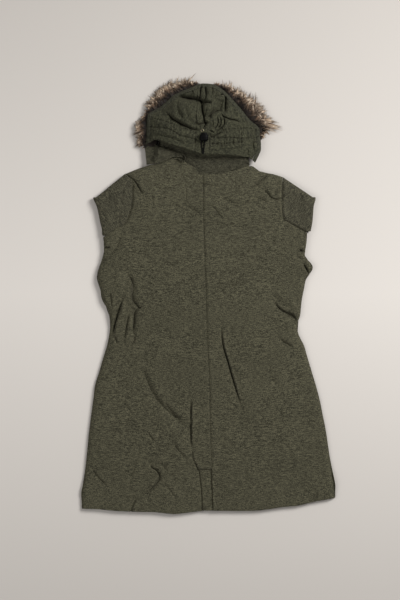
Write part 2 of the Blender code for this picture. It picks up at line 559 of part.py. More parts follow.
def layered_strip(name, outer, inner, slot):
    """Closed strip whose two long edges show the two plies as rounded edges with a groove between."""
    m, n = outer.shape[:2]
    across = outer[:, 1] - outer[:, 0]
    first = across / np.linalg.norm(across, axis=1, keepdims=True)
    across = outer[:, -2] - outer[:, -1]
    last = across / np.linalg.norm(across, axis=1, keepdims=True)
    rings = []
    for i in range(m):
        ring = list(outer[i])
        for share, inset in ((0.25, -0.7), (0.5, 0.9), (0.75, -0.7)):
            ring.append(outer[i, -1] * (1 - share) + inner[i, -1] * share + last[i] * inset)
        ring += list(inner[i][::-1])
        for share, inset in ((0.75, -0.7), (0.5, 0.9), (0.25, -0.7)):
            ring.append(outer[i, 0] * (1 - share) + inner[i, 0] * share + first[i] * inset)
        rings.append(ring)
    k = len(rings[0])
    points = [p for ring in rings for p in ring]
    faces = []
    for i in range(m - 1):
        for j in range(k):
            a, b = i * k + j, i * k + (j + 1) % k
            faces.append((a, b, b + k, a + k))
    for i in (0, m - 1):
        base = i * k
        for j in range(n - 1):
            faces.append((base + j, base + j + 1, base + 2 * n + 1 - j, base + 2 * n + 2 - j))
        right = [base + n - 1, base + n, base + n + 1, base + n + 2, base + n + 3]
        left = [base + 2 * n + 2, base + 2 * n + 3, base + 2 * n + 4, base + 2 * n + 5, base]
        for fan in (right, left):
            faces.append((fan[2], fan[0], fan[1]))
            faces.append((fan[2], fan[3], fan[4]))
            faces.append((fan[2], fan[4], fan[0]))
    make_object(name, points, faces, slot)


def tube_wall(name, outer, inner, slot):
    """Closed wall of a tube that is open at both ends; rings go round in the second index."""
    m, n = outer.shape[:2]
    points = np.concatenate([outer.reshape(-1, 3), inner.reshape(-1, 3)])
    off = m * n
    faces = []
    for j in range(n):
        after = (j + 1) % n
        for i in range(m - 1):
            faces.append((i * n + j, (i + 1) * n + j, (i + 1) * n + after, i * n + after))
            faces.append((off + i * n + after, off + (i + 1) * n + after,
                          off + (i + 1) * n + j, off + i * n + j))
        faces.append((j, after, off + after, off + j))
        last = (m - 1) * n
        faces.append((last + after, last + j, off + last + j, off + last + after))
    make_object(name, points, faces, slot)


def make_collar():
    """Stand collar as a flattened tube round the neck, its back above and its fronts below.

    Gives back the facets of its upper half.
    """
    count = 40
    outer = np.zeros((len(COLLAR_STEPS), count, 3))
    inner = np.zeros_like(outer)
    for j in range(count):
        angle = 2.0 * math.pi * j / count
        c, s = math.cos(angle), math.sin(angle)
        x = COLLAR_CENTRE + COLLAR_HALF_WIDTH * math.copysign(abs(c) ** 0.75, c)
        back = s >= 0.0
        foot = along(NECK, x, "x", "y")
        if not back:
            front_foot = min(foot, along(FRONT_NECK, x, "x", "y") + 9.0)
            foot = front_foot * abs(s) + foot * (1 - abs(s))
        for i, (ahead, q, top_z) in enumerate(COLLAR_STEPS):
            top = COLLAR_TOP_Y if back else COLLAR_TOP_Y - 60.0 * abs(s) ** 0.5
            tucked = smooth((x + 104.0) / 14.0) * smooth((66.0 - x) / 14.0) if back else 0.0
            y = foot + ahead * tucked + (3.0 + 0.4 * i) * (1.0 - tucked) + (top - foot) * q
            if i < 2:
                under = float(min(top_height(x, foot - 6.0), top_height(x, foot - 1.0)))
                top_z = min(top_z, max(under - CLOTH - SEAM * 2, 16.0))
            low_z = 12.6 - 2.0 * q
            half = (top_z - low_z) / 2.0
            rise = math.copysign(abs(s) ** 0.5, s)
            narrow = 1.0 - 0.09 * q
            outer[i, j] = (COLLAR_CENTRE + (x - COLLAR_CENTRE) * narrow, y, low_z + half + half * rise)
            within = (COLLAR_HALF_WIDTH - CLOTH) * narrow * math.copysign(abs(c) ** 0.75, c)
            inner[i, j] = (COLLAR_CENTRE + within, y, low_z + half + (half - CLOTH) * rise)
    tube_wall("collar", outer, inner, "cloth")
    return facets(outer[:, :count // 2 + 1])


def make_collar_flap(collar, back):
    """Left end of the collar, turned over the neck seam, with a rounded fold under the hood."""
    columns = np.linspace(0.0, 1.0, 13)
    low = path_point(COLLAR_FLAP_EDGE, columns)
    high = path_point(COLLAR_FLAP_FOLD, columns)
    outer = []
    for v in (0.0, 0.25, 0.5, 0.75, 1.0):
        plan = low + (high - low) * v
        rest = [max(height_on(under, x + dx, y + dy) for under in (collar, back)
                    for dx in (-4.0, 0.0, 4.0) for dy in (-4.0, 0.0, 4.0)) for x, y in plan]
        rest = np.maximum(rest, 13.0) + CLOTH + SEAM
        side = np.clip((plan[:, 0] + 153.5) / 26.0, 0.0, 1.0)
        end = smooth((-66.0 - plan[:, 0]) / 20.0)
        puff = 4.5 * math.sin(math.pi * (0.15 + 0.7 * v)) * end * smooth(side)
        outer.append(np.column_stack([plan, rest + puff]))
    sheet("collar_flap", np.array(outer).transpose(1, 0, 2), CLOTH, "cloth")


def face_shares():
    """Shares of the face edge at which hood panels and brim have a point, panel by panel."""
    left, right = (share_at_x(HOOD_FACE, seam.y) for seam in HOOD_SEAMS)
    return np.linspace(0.0, left, 15), np.linspace(left, right, 5), np.linspace(right, 1.0, 14)


def inset_from_face(share, inset):
    """Points inside the face edge towards the middle of the hood, and the direction to it."""
    face = path_point(HOOD_FACE, share)
    inward = np.array([-10.0, 415.0]) - face
    inward /= np.linalg.norm(inward, axis=1, keepdims=True)
    return face + inward * inset * 1.06, inward


def parted(points, first, last):
    """The same row of points with its ends drawn in by half a seam gap."""
    points = points.copy()
    if first:
        step = points[1] - points[0]
        points[0] += step / np.linalg.norm(step) * SEAM * 0.6
    if last:
        step = points[-2] - points[-1]
        points[-1] += step / np.linalg.norm(step) * SEAM * 0.6
    return points


def hood_panel(collar, foot_share, share, first, last):
    """Outer points of one panel: a lip turned under at the foot, then up and over to the face edge."""
    foot = parted(path_point(HOOD_FOOT, foot_share), first, last)
    face = parted(inset_from_face(share, BRIM_WIDTH + SEAM * 2)[0], first, last)
    lip = np.minimum(hood_height(foot[:, 0], foot[:, 1]), HOOD_LIP_Z)
    seat = [max(height_on(collar, x + dx, y + dy)
                for dx in (-4.0, 0.0, 4.0) for dy in (0.0, 5.0, 10.0, 14.0)) for x, y in foot]
    seat = np.maximum(np.array(seat) + SEAM, lip - HOOD_LIP_DROP)
    outer = []
    for ahead, rise in ((14.0, 0.0), (6.0, 0.03), (1.4, 0.25), (0.0, 0.62)):
        outer.append(np.column_stack([foot + np.array([0.0, ahead]), seat + (lip - seat) * rise]))
    for v in (0.035, 0.13, 0.25, 0.37, 0.49, 0.61, 0.73, 0.84, 0.93, 1.0):
        plan = foot + (face - foot) * v
        outer.append(np.column_stack([plan, hood_height(plan[:, 0], plan[:, 1])]))
    return np.array(outer).transpose(1, 0, 2)


def make_hood(collar):
    """Three panels of the hood, resting on the collar; gives back the facets on which the trims sit."""
    left_foot, right_foot = (share_at_x(HOOD_FOOT, seam.x) for seam in HOOD_SEAMS)
    left, centre, right = face_shares()
    panels = (
        ("hood_left", np.linspace(0.0, left_foot, len(left)), left, False, True),
        ("hood_centre", np.linspace(left_foot, right_foot, len(centre)), centre, True, True),
        ("hood_right", np.linspace(right_foot, 1.0, len(right)), right, True, False),
    )
    grids = []
    for name, foot_share, share, first, last in panels:
        outer = hood_panel(collar, foot_share, share, first, last)
        grids.append(facets(outer))
        normal = grid_normals(outer)
        if normal[:, 6:, 2].mean() < 0:
            normal = -normal
        for edge in [0] * first + [-1] * last:
            normal[edge, :, 0] = 0.0
            normal[edge] /= np.maximum(np.linalg.norm(normal[edge], axis=1, keepdims=True), 1e-9)
        normal[:, -1] = (0.0, 0.0, 1.0)
        sandwich(name, outer, outer - normal * CLOTH, "cloth_hood")
    return grids


def hood_top(grids, x, y):
    """Height of the hood's facets at a place."""
    return max(height_on(grid, x, y) for grid in grids)


def face_normals(points):
    """Plan direction out of the hood at each point of its face edge."""
    run = np.gradient(points, axis=0)
    out = np.column_stack([-run[:, 1], run[:, 0]])
    return out / np.linalg.norm(out, axis=1, keepdims=True)


def make_brim():
    """Band round the face edge, rolling down to the fur."""
    left, centre, right = face_shares()
    share = np.concatenate([left, centre[1:], right[1:]])
    outer = []
    for inset, drop in ((BRIM_WIDTH, 0.0), (5.5, 0.0), (2.5, 0.4), (0.6, 1.6), (0.0, 3.4)):
        plan, inward = inset_from_face(share, inset)
        outer.append(np.column_stack([plan, hood_height(plan[:, 0], plan[:, 1]) - drop]))
    outer = np.array(outer).transpose(1, 0, 2)
    normal = grid_normals(outer)
    normal *= -1.0 if normal[..., 2].mean() < 0 else 1.0
    normal[:, 0] = (0.0, 0.0, 1.0)
    normal[:, -1, 2] = 0.0
    normal[:, -1, :2] = -inward
    sandwich("hood_brim", outer, outer - normal * CLOTH, "cloth_hood")


def make_fur():
    """Fur trim as one soft ring with a tufted outer edge, lying under the brim."""
    count = 90
    share = np.linspace(0.0, 1.0, count)
    line = [Mark(tuft.x, tuft.y) for tuft in FUR]
    edge = path_point(line, share)
    out = face_normals(edge)
    steps = np.array([math.hypot(b.x - a.x, b.y - a.y) for a, b in zip(line, line[1:])])
    run = np.concatenate([[0.0], np.cumsum(steps)]) / steps.sum()
    reach = np.interp(share, run, [tuft.reach for tuft in FUR])
    rings = []
    for k in range(count):
        wave = 0.9 + 0.07 * math.sin(k * 1.9 + 1.3 * math.sin(k * 0.37)) + 0.05 * math.sin(k * 0.71 + 1.0)
        far = reach[k] * wave if reach[k] > 12.0 else reach[k]
        far = max(far, -6.0)
        crest = 14.4 + max(0.0, min(far, 24.0)) * 0.30
        taper = min(1.0, k / 3.0 + 0.35, (count - 1 - k) / 3.0 + 0.35)
        if far > 4.0:
            outside = [
                (max(far * 0.34, 1.0), crest), (max(far * 0.7, 1.6), crest - 2.0),
                (max(far, 2.4), 9.0), (max(far * 0.86, 1.8), 3.0), (min(far * 0.5, 10.0), 0.0),
            ]
        else:
            outside = [
                (far * 0.2 + 0.4, 14.0), (far * 0.4 + 0.8, 12.5), (far * 0.5 + 1.2, 9.0),
                (far * 0.4 + 0.6, 3.0), (far * 0.3, 0.0),
            ]
        section = [(-30.0, 2.0), (-31.0, 7.0), (-24.0, 12.5), (-12.0, 14.4), (-1.0, 14.4)]
        section += outside + [(-14.0, 0.0), (-24.0, 0.0)]
        ring = []
        for n, z in section:
            spot = edge[k] + out[k] * n
            ring.append((spot[0], spot[1], z * taper))
        rings.append(ring)
    size = len(rings[0])
    points = [p for ring in rings for p in ring]
    faces = []
    for i in range(count - 1):
        for j in range(size):
            a, b = i * size + j, i * size + (j + 1) % size
            faces.append((a, b, b + size, a + size))
    faces.append(tuple(range(size)))
    faces.append(tuple(reversed(range((count - 1) * size, count * size))))
    make_object("fur_trim", points, faces, "fur")


def lathe(name, centre, profile, sides, slot):
    """Ring turned about +Z from a closed profile of radius and height."""
    points, faces = [], []
    size = len(profile)
    for k in range(sides):
        angle = 2.0 * math.pi * k / sides
        for radius, z in profile:
            points.append((centre[0] + radius * math.cos(angle), centre[1] + radius * math.sin(angle),
                           centre[2] + z))
    for k in range(sides):
        after = (k + 1) % sides
        for j in range(size):
            nxt = (j + 1) % size
            faces.append((k * size + j, after * size + j, after * size + nxt, k * size + nxt))
    make_object(name, points, faces, slot)


def make_trims(grids):
    """Eyelet on the casing and the cord lock just below it; gives back the level the lock lies at."""
    ex, ey = EYELET_AT
    spots = [(ex + r * math.cos(a), ey + r * math.sin(a))
             for a in np.linspace(0, 2 * math.pi, 17) for r in (2.0, 3.2, EYELET_RADIUS)]
    seat = max(hood_top(grids, x, y) for x, y in spots) + SEAM
    profile = [(2.0, 0.0), (EYELET_RADIUS, 0.0), (EYELET_RADIUS, 0.6), (3.4, 1.5), (2.3, 1.3)]
    lathe("eyelet", (ex, ey, seat), profile, 20, "brass")

    lx, ly = LOCK_AT
    half = LOCK_LENGTH / 2
    spots = [(lx + dx, ly + dy) for dx in np.linspace(-6, 6, 7) for dy in np.linspace(-half, half, 9)]
    floor = max(hood_top(grids, x, y) for x, y in spots) + SEAM
    rings = []
    for y, scale in ((-0.5, 0.74), (-0.46, 0.88), (-0.36, 1.0), (0.3, 1.0), (0.42, 0.94), (0.5, 0.8)):
        ring = []
        for k in range(16):
            angle = 2.0 * math.pi * k / 16
            c, s = math.cos(angle), math.sin(angle)
            x = LOCK_WIDTH / 2 * scale * math.copysign(abs(c) ** 0.7, c)
            z = LOCK_THICK / 2 * scale * math.copysign(abs(s) ** 0.7, s)
            ring.append((lx + x, ly + y * LOCK_LENGTH, floor + LOCK_THICK / 2 + z))
        rings.append(ring)
    faces = []
    for i in range(len(rings) - 1):
        for j in range(16):
            a, b = i * 16 + j, i * 16 + (j + 1) % 16
            faces.append((a, b, b + 16, a + 16))
    faces.append(tuple(range(16)))
    faces.append(tuple(reversed(range((len(rings) - 1) * 16, len(rings) * 16))))
    make_object("cord_lock", [p for ring in rings for p in ring], faces, "black_plastic")
    return floor


def smooth_path(points, spacing):
    """Points at even spacing on a smooth curve through the given ones."""
    points = np.array(points, float)
    ext = np.vstack([2 * points[0] - points[1], points, 2 * points[-1] - points[-2]])
    fine = []
    for i in range(1, len(ext) - 2):
        p0, p1, p2, p3 = ext[i - 1:i + 3]
        for t in np.linspace(0, 1, 24, endpoint=False):
            fine.append(0.5 * (2 * p1 + (p2 - p0) * t + (2 * p0 - 5 * p1 + 4 * p2 - p3) * t ** 2
                               + (3 * p1 - p0 - 3 * p2 + p3) * t ** 3))
    fine.append(points[-1])
    fine = np.array(fine)
    run = np.concatenate([[0.0], np.cumsum(np.linalg.norm(np.diff(fine, axis=0), axis=1))])
    count = max(4, int(round(run[-1] / spacing)) + 1)
    at = np.linspace(0.0, run[-1], count)
    return np.stack([np.interp(at, run, fine[:, k]) for k in range(3)], -1)


def cord_level(grids, x, y):
    """Height of the cord's middle where it lies on the hood."""
    spots = [(x + dx, y + dy) for dx in (-1.2, 0.0, 1.2) for dy in (-2.0, 0.0, 2.0)]
    return max(hood_top(grids, px, py) for px, py in spots) + CORD_DIAMETER / 2 + SEAM


def make_cord(grids, floor):
    """Elastic loop that leaves the lock, hangs over the foot of the hood and comes back."""
    lx, ly = LOCK_AT
    foot_y = ly - LOCK_LENGTH / 2
    rows = []
    for y, dx in ((foot_y - 0.4, -6.2), (350.0, -5.6), (342.0, -4.6), (335.0, -4.4)):
        x = lx + dx
        rows.append((x, y, cord_level(grids, x, y)))
    start = [(rows[0][0], rows[0][1], max(rows[0][2], floor + 3.0))] + rows[1:]
    turn_x = lx - 2.6
    back = []
    for y, dx in ((335.0, -0.9), (342.0, -0.7), (350.0, 0.6), (foot_y - 0.4, 1.4)):
        x = lx + dx
        back.append((x, y, cord_level(grids, x, y)))
    back[-1] = (back[-1][0], back[-1][1], max(back[-1][2], floor + 3.0))
    low = (turn_x, 330.8, cord_level(grids, turn_x, 330.8))
    path = smooth_path(start + [low] + back, CORD_DIAMETER)
    curve = bpy.data.curves.new("drawcord", "CURVE")
    curve.dimensions = "3D"
    curve.bevel_depth = CORD_DIAMETER / 2 * MM
    curve.bevel_resolution = 2
    curve.use_fill_caps = True
    spline = curve.splines.new("POLY")
    spline.points.add(len(path) - 1)
    for point, place in zip(spline.points, path):
        point.co = (*((place - MIDDLE) * MM), 1.0)
    curve.materials.append(material("cord"))
    made = bpy.data.objects.new("drawcord", curve)
    bpy.context.scene.collection.objects.link(made)


def build():
    """Empties the scene and makes every piece."""
    for old in list(bpy.data.objects):
        bpy.data.objects.remove(old)
    backs = make_backs()
    make_fronts()
    make_vent()
    make_zip()
    make_sleeve("sleeve_left", True)
    make_sleeve("sleeve_right", False)
    collar = make_collar()
    make_collar_flap(collar, backs[0])
    grids = make_hood(collar)
    make_brim()
    make_fur()
    make_cord(grids, make_trims(grids))


build()
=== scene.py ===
"""Fur trimmed parka, laid flat on its fronts: fine cloth, stitching, fur and trims round the packed solids.

Tables are in millimetres, with +X to the right and +Y towards the hood, as in the coat's own drawing.
Meshes are made in metres about the middle of the outline.
"""
import math
from collections import namedtuple

import bmesh
import bpy
import numpy as np
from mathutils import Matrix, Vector
from mathutils.bvhtree import BVHTree


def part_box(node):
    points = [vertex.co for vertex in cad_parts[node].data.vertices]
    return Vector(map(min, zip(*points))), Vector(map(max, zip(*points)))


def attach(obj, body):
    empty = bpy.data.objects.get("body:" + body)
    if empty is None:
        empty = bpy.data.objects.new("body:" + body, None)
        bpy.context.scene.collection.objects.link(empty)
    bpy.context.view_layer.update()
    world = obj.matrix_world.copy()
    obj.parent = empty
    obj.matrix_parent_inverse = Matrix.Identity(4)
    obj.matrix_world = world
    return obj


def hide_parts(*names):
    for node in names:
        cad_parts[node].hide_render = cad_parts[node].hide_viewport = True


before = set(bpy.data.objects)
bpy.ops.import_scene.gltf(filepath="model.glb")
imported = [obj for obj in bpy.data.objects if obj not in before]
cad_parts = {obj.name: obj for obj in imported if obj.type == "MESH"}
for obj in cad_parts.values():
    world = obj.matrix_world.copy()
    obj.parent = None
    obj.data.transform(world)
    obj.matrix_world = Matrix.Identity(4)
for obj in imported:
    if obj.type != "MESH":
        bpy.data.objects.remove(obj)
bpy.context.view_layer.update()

bl_info = {
    "name": "Fur Trimmed Parka",
    "version": (1, 0, 0),
    "blender": (4, 5, 0),
    "location": "View3D > Sidebar > Parka",
    "description": "Cloth shells, stitching, fur and trims for a parka laid flat",
    "category": "Object",
}

MM = 0.001
MIDDLE = np.array([0.95, -8.58, 0.0])   # middle of the outline, which is the origin
SEAM = 0.3                 # gap between two pieces at a seam
UP = (0.0, 0.0, 1.0)
COARSE = 4                 # fine cells to one cell of a shell's inner side

# Sizes that the cloth shares with its solids
WALL = 2.2                 # shell and lining together
EDGE_ROLL = 17.0           # how far in from the side the back starts to roll down
SLEEVE_PLY = 6.0           # flattened sleeve, two plies
SLEEVE_TURN = 7.5          # how far the fold at the side stands out from its centre
SLEEVE_HIDDEN = 465.0      # length of sleeve folded away underneath
SLEEVE_ROOT_HALF = 74.0    # half width of the hidden sleeve near the fold
SLEEVE_CUFF_HALF = 61.0
SLEEVE_RUN = (0.951, -0.309)
SLEEVE_CLIMB = 6.4         # the right sleeve lies this high where it crosses the left one's cuff
DROOP = 35.0               # how far in from the side the fronts come down to the floor
BACK_SLOPE = 120.0         # how far in from the side the back reaches its full height
BELL_SHARE = 0.6           # spread of a fold's bell as a share of its half width
FRONT_INSET = 0.7          # fronts stop this far inside the back's side
HEM_ROW = -548.8           # row of points that is moved onto the hem
HEM_BLEND_Y = -400.0       # above this the rows are straight
HEM_BLEND_REACH = 148.8    # from there down to the hem's row
TOP_BLEND_Y = 120.0        # above this the rows bend up to the shoulder and neck
UNDERARM = 126.0           # the back's rim faces sideways below this
ZIP_HALF = 7.0
ZIP_HALF_AT_TOP = 5.8
VENT_HEAD = -440.0         # top of the slit
VENT_LAP = (20.0, 22.0)    # underlap past the vent's edge and past the centre seam
HOOD_EDGE_Z = 20.0
HOOD_RISE = 36.0
HOOD_ROUND = 80.0
HOOD_LIP_Z = 47.0          # greatest height of the lip at the foot of the hood
HOOD_LIP_DROP = 13.0       # greatest depth of the same lip
BRIM_WIDTH = 9.0
COLLAR_HALF_WIDTH = 115.0
COLLAR_TOP_Y = 371.0
COLLAR_CENTRE = -13.0

# Sizes of the cloth's own meshes
CLOTH_THICKNESS = 1.8      # of the shells
HOOD_MIDDLE = np.array([-10.0, 415.0])
BRIM_STITCH_IN = 11.0      # brim stitching inside the face edge
RAY_FROM = 0.3             # rays that look for a surface start this many metres up

Level = namedtuple("Level", "y centre left right")
Fold = namedtuple("Fold", "x0 y0 x1 y1 half_width rise")
Crease = namedtuple("Crease", "path half depth lip lean open_ends")


def table(kind, rows):
    """Rows of one kind, their columns named."""
    return [kind(*row) for row in rows]


CREASE_STEP = 3.0                   # spacing of the points on a crease's line
GROOVE_WIDTH = 2.2                  # of the body's seams
ARMHOLE_GROOVE = 2.4                # depth of the armhole seams
HEM_STITCH_UP = 24.0                # hem stitching above the hem's edge
CREASE_SHARE = 2.7                  # creases as they lie in stiff, heavy cloth
HOOD_CREASE_SHARE = 2.6
SLUB_LONG, SLUB_HIGH = 9.0, 1.1     # slubs of the melange yarn, drawn coarser than yarn so that they show
YARN_LONG, YARN_HIGH = 1.8, 0.9     # the even yarn between them
BROAD_TONE = 90.0                   # size of the slow change of tone over a panel
CAMERA_AIM = (-20.55, -15.92)       # place below the camera
CAMERA_PLANE = 0.015                # metres up at which the frame has its height
FRAME_HEIGHT = 1.470                # metres

# Sides of the body, hem to underarm: y, left x, right x.
SIDES = [
    (-536.5, -309.9, 312.4), (-509.6, -311.2, 312.4), (-477.8, -306.3, 308.7), (-441, -301.4, 303.8),
    (-392, -296.5, 296.5), (-343, -291.6, 289.1), (-306.3, -286.7, 281.8), (-269.5, -281.8, 274.4),
    (-232.8, -276.9, 264.6), (-208.3, -269.5, 257.3), (-183.8, -262.2, 249.9), (-159.3, -254.8, 242.6),
    (-134.8, -247.5, 235.2), (-110.3, -242.6, 223), (-85.8, -240.1, 218.1), (-67, -242, 225),
    (-49, -245, 227.9), (-24.5, -259.7, 230.3), (0, -264.6, 235.2), (24.5, -272, 240.1),
    (38, -272, 248.5), (53.9, -268, 257), (68, -262.5, 250.5), (80, -258.5, 238), (96.3, -255, 238.5),
    (112, -254.8, 241), (126, -257, 242.4),
]
# Armhole seams from the underarm to the shoulder: x, y.
ARMHOLE_LEFT = [
    (-257.7, 128.9), (-239.7, 139.5), (-221.7, 150.2), (-209.9, 157.2), (-206.3, 159.3), (-198.5, 169),
    (-192.6, 186.2), (-186.2, 210.7), (-184.7, 245), (-185.2, 262), (-199.7, 280.5), (-202.6, 284.9),
]
ARMHOLE_RIGHT = [
    (243.5, 139.7), (223.4, 150.4), (203.4, 161.1), (190.2, 168.2), (186.2, 170.3), (182, 186),
    (181.3, 210), (181.3, 235), (182.5, 276.9),
]
# Folded edge of each sleeve, outer corner down to the underarm.
FOLD_LEFT = [
    (-281.8, 226.6), (-270.7, 196), (-263.6, 164.2), (-258.5, 130.4),
]
FOLD_RIGHT = [
    (264.1, 226.9), (259, 198.5), (256, 170), (252.6, 141.2),
]
# Shoulder lines, armhole to outer corner.
SHOULDER_LEFT = [
    (-202.6, 284.9), (-241.3, 252.4), (-272.7, 230.3), (-281.8, 226.6),
]
SHOULDER_RIGHT = [
    (182.5, 276.9), (225.4, 251.1), (264.1, 226.9),
]
# Upper edge of the back, then of the fronts, then the hem.
NECK = [
    (-202.6, 284.9), (-178.9, 290.1), (-150.7, 303.8), (-118.3, 309.9), (-100.5, 316.8), (-82, 323),
    (-66, 321), (-52, 310), (-30.4, 297.7), (-25.7, 287), (-12, 284.2), (29.4, 284.2), (66, 293),
    (102.4, 303.8), (117.6, 297.7), (125.9, 291.6), (142.1, 287.1), (161, 283.7), (182.5, 276.9),
]
FRONT_NECK = [
    (-202.6, 284.9), (-150.7, 303.8), (-118, 296), (-70, 262), (0, 248), (66, 260), (108, 292),
    (125.9, 291.6), (182.5, 276.9),
]
HEM = [
    (-312, -536.5), (-269.5, -537.5), (-230, -541.5), (-171.5, -543.9), (-132.3, -544.5), (-93, -548.8),
    (-73.5, -548.8), (-34.3, -543.9), (4.9, -541.5), (103, -541.5), (142, -538.5), (181, -532.5),
    (220.5, -528.5), (259.7, -519.4), (313, -509.6),
]
# Centre back seam, and the left edge of the vent below it.
CENTRE_SEAM = [
    (13.5, -548.8), (9.3, -433.7), (5.4, -343), (3.4, -220), (-2.5, -113), (-5.6, 10), (-11, 160),
    (-12.5, 284.2),
]
VENT_LEFT = [
    (-14.7, -548.8), (-16.5, -500), (-22, -446),
]
# Heights up the body: top of the back, side seams, underside of the fronts.
TOP_LEVEL = table(Level, [
    (-549, 13.4, 13, 13), (-450, 14.6, 13.8, 13.8), (-300, 16.2, 14.8, 14.6), (-190, 18.2, 15.8, 15.4),
    (-100, 21, 18.4, 17.4), (-40, 22.5, 20.5, 20.5), (40, 24, 21.5, 21.5), (128, 25, 21.5, 21.5),
    (225, 25, 20.5, 20.5), (285, 27.5, 20, 20), (330, 29, 21, 21),
])
SEAM_LEVEL = table(Level, [
    (-549, 0, 3, 3), (-200, 0, 3.2, 3.2), (-40, 0, 4.6, 4.6), (40, 0, 6, 6.2), (85, 0, 10.3, 10.3),
    (160, 0, 12.2, 12.2), (330, 0, 12.2, 12.2),
])
FRONT_LEVEL = table(Level, [
    (-549, 0, 0, 0), (-126, 0, 0, 0), (-100, 1.6, 0.5, 0.5), (-66, 8.6, 1.2, 1.2), (-26, 13.3, 1.8, 1.8),
    (40, 13.4, 2.5, 2.7), (85, 13.4, 7, 7), (215, 13.4, 7, 7), (285, 10.4, 6.9, 6.9), (330, 9, 6.9, 6.9),
])
# Broad folds: start, end, half width, rise (below 0 for a trough).
FOLDS = table(Fold, [
    (-201, 42, -186, 2, 13, -3), (-186, 2, -184, -108, 12, -3.2), (-210, -20, -236, -112, 10, -4),
    (-222, 30, -206, -60, 12, 2.6), (-170, -12, -160, -118, 16, 1.8), (-196, -52, -208, -130, 9, -2),
    (161, -20, 200, -62, 11, -2.6), (200, -62, 217, -84, 10, -4), (176, -8, 224, -50, 12, 2.2),
    (169, -115, 194, -132, 12, -1.4), (32, -86, 48, -167, 12, -1.4), (48, -167, 81, -290, 12, -2.4),
    (70, -180, 104, -300, 18, 1.6), (-98, -277, -45, -342, 20, -2.6), (-45, -342, -30, -410, 12, -1.6),
    (-120, -300, -66, -376, 22, 1.6), (-140, -424, -120, -460, 12, -2),
    (-120, -460, -150, -506, 12, -1.8), (-190, -395, -175, -470, 20, 1.5),
    (-289, -435, -245, -480, 14, -1.2), (-198, 283, -166, 232, 11, -3), (-186, 250, -192, 190, 10, -2.2),
    (-225, 236, -232, 168, 14, 1.6), (-170, 250, -172, 200, 13, 1.4), (160, 283, 108, 244, 12, -2.4),
    (132, 240, 192, 226, 12, -2), (20, 228, 152, 218, 22, -1.6), (40, 250, 150, 245, 18, 1.6),
    (-80, 205, -20, 186, 20, -1.2), (-213, 142, -252, 70, 12, -1.6), (186, 168, 240, 140, 9, -1.5),
    (236, 62, 246, 44, 7, -2),
])
# Hood: its foot, then its face edge from lower left over the top to lower right.
HOOD_FOOT = [
    (-141, 361), (-124.9, 366), (-88.2, 350.8), (-56.4, 339.1), (-27, 328), (-10.5, 324), (40, 325),
    (101, 324),
]
HOOD_FACE = [
    (-153.5, 356), (-150.9, 372), (-150.7, 404.3), (-149, 424.8), (-144.6, 432.9), (-120.8, 446),
    (-102.9, 460.6), (-85.8, 476.3), (-73.5, 482.7), (-50.5, 492.5), (-18, 504.7), (12.3, 503.5),
    (39.2, 488.8), (61.3, 465.5), (83.3, 441), (102.9, 416.5), (124.5, 397.6), (126.9, 379.8),
    (130, 346.4), (124.5, 330), (115.5, 311.5),
]
# Hood seams: x at the foot, then x and y at the face edge.
HOOD_SEAMS = [
    (-32.6, -26, 504.7), (2, 9.5, 503.6),
]
HOOD_FOLDS = table(Fold, [
    (-73, 474, -44, 470, 9, -7), (-44, 470, -14, 456, 10, -9), (-13, 500, -10, 452, 9, -7),
    (-15, 452, -10, 414, 10, -8), (34, 446, 4, 424, 10, -9), (41, 470, 41, 430, 8, -5),
    (-110, 429, -66, 402, 12, -4), (-66, 402, -22, 390, 12, -5), (-70, 440, -30, 424, 18, 5),
    (18, 470, 30, 486, 12, 4), (8, 408, 34, 398, 12, 4), (10, 372, 44, 402, 9, -4),
    (60, 430, 80, 412, 12, -3), (-120, 386, -40, 372, 12, 2),
])
# Collar from its foot to its top: distance ahead, share of its height, top level.
COLLAR_STEPS = [
    (-5, 0, 24.3), (2, 0, 24.7), (3, 0.2, 28.6), (3, 0.55, 31), (3, 1, 32.4),
]
# Turned left end of the collar: free edge over the back, fold under the hood.
FLAP_EDGE = [
    (-150.5, 306.5), (-118.3, 310.4), (-100.5, 317.3), (-82, 325.2), (-63, 324),
]
FLAP_FOLD = [
    (-155.5, 357), (-146, 362), (-132, 358), (-117, 349), (-105, 346), (-86, 341), (-58, 331),
]
# Rolled corner of the same end, seen from above as a loop of cloth on its edge.
FLAP_CURL = [
    (-84, 324), (-78, 328), (-70, 330.5), (-61, 330), (-55.5, 325), (-56, 318), (-61, 313.5), (-67, 317),
    (-73, 322),
]
# Fur round the face edge: x, y, and how far it stands out.
FUR = [
    (-150.5, 331, -6), (-153, 343, 0), (-154.2, 352, 7), (-153, 364, 17), (-151.2, 378, 25), (-151, 396, 31),
    (-150.4, 412, 27), (-149, 424.8, 9), (-141, 434.9, 18), (-126, 443, 31), (-108, 456.5, 38),
    (-91, 471.5, 37), (-73.5, 482.7, 32), (-50.5, 492.5, 25), (-32, 499.5, 15), (-18, 504.7, 2),
    (-2, 505, -3),
    (12.3, 503.5, 2), (28, 495, 14), (46, 482, 24), (61.3, 465.5, 32), (76, 449, 40), (90, 433, 45),
    (103, 416.5, 46), (116, 403.5, 38), (124.5, 395, 28), (126.9, 379.8, 12), (128.5, 362, -4),
    (127, 346.4, -5),
    (118, 330, -6),
]
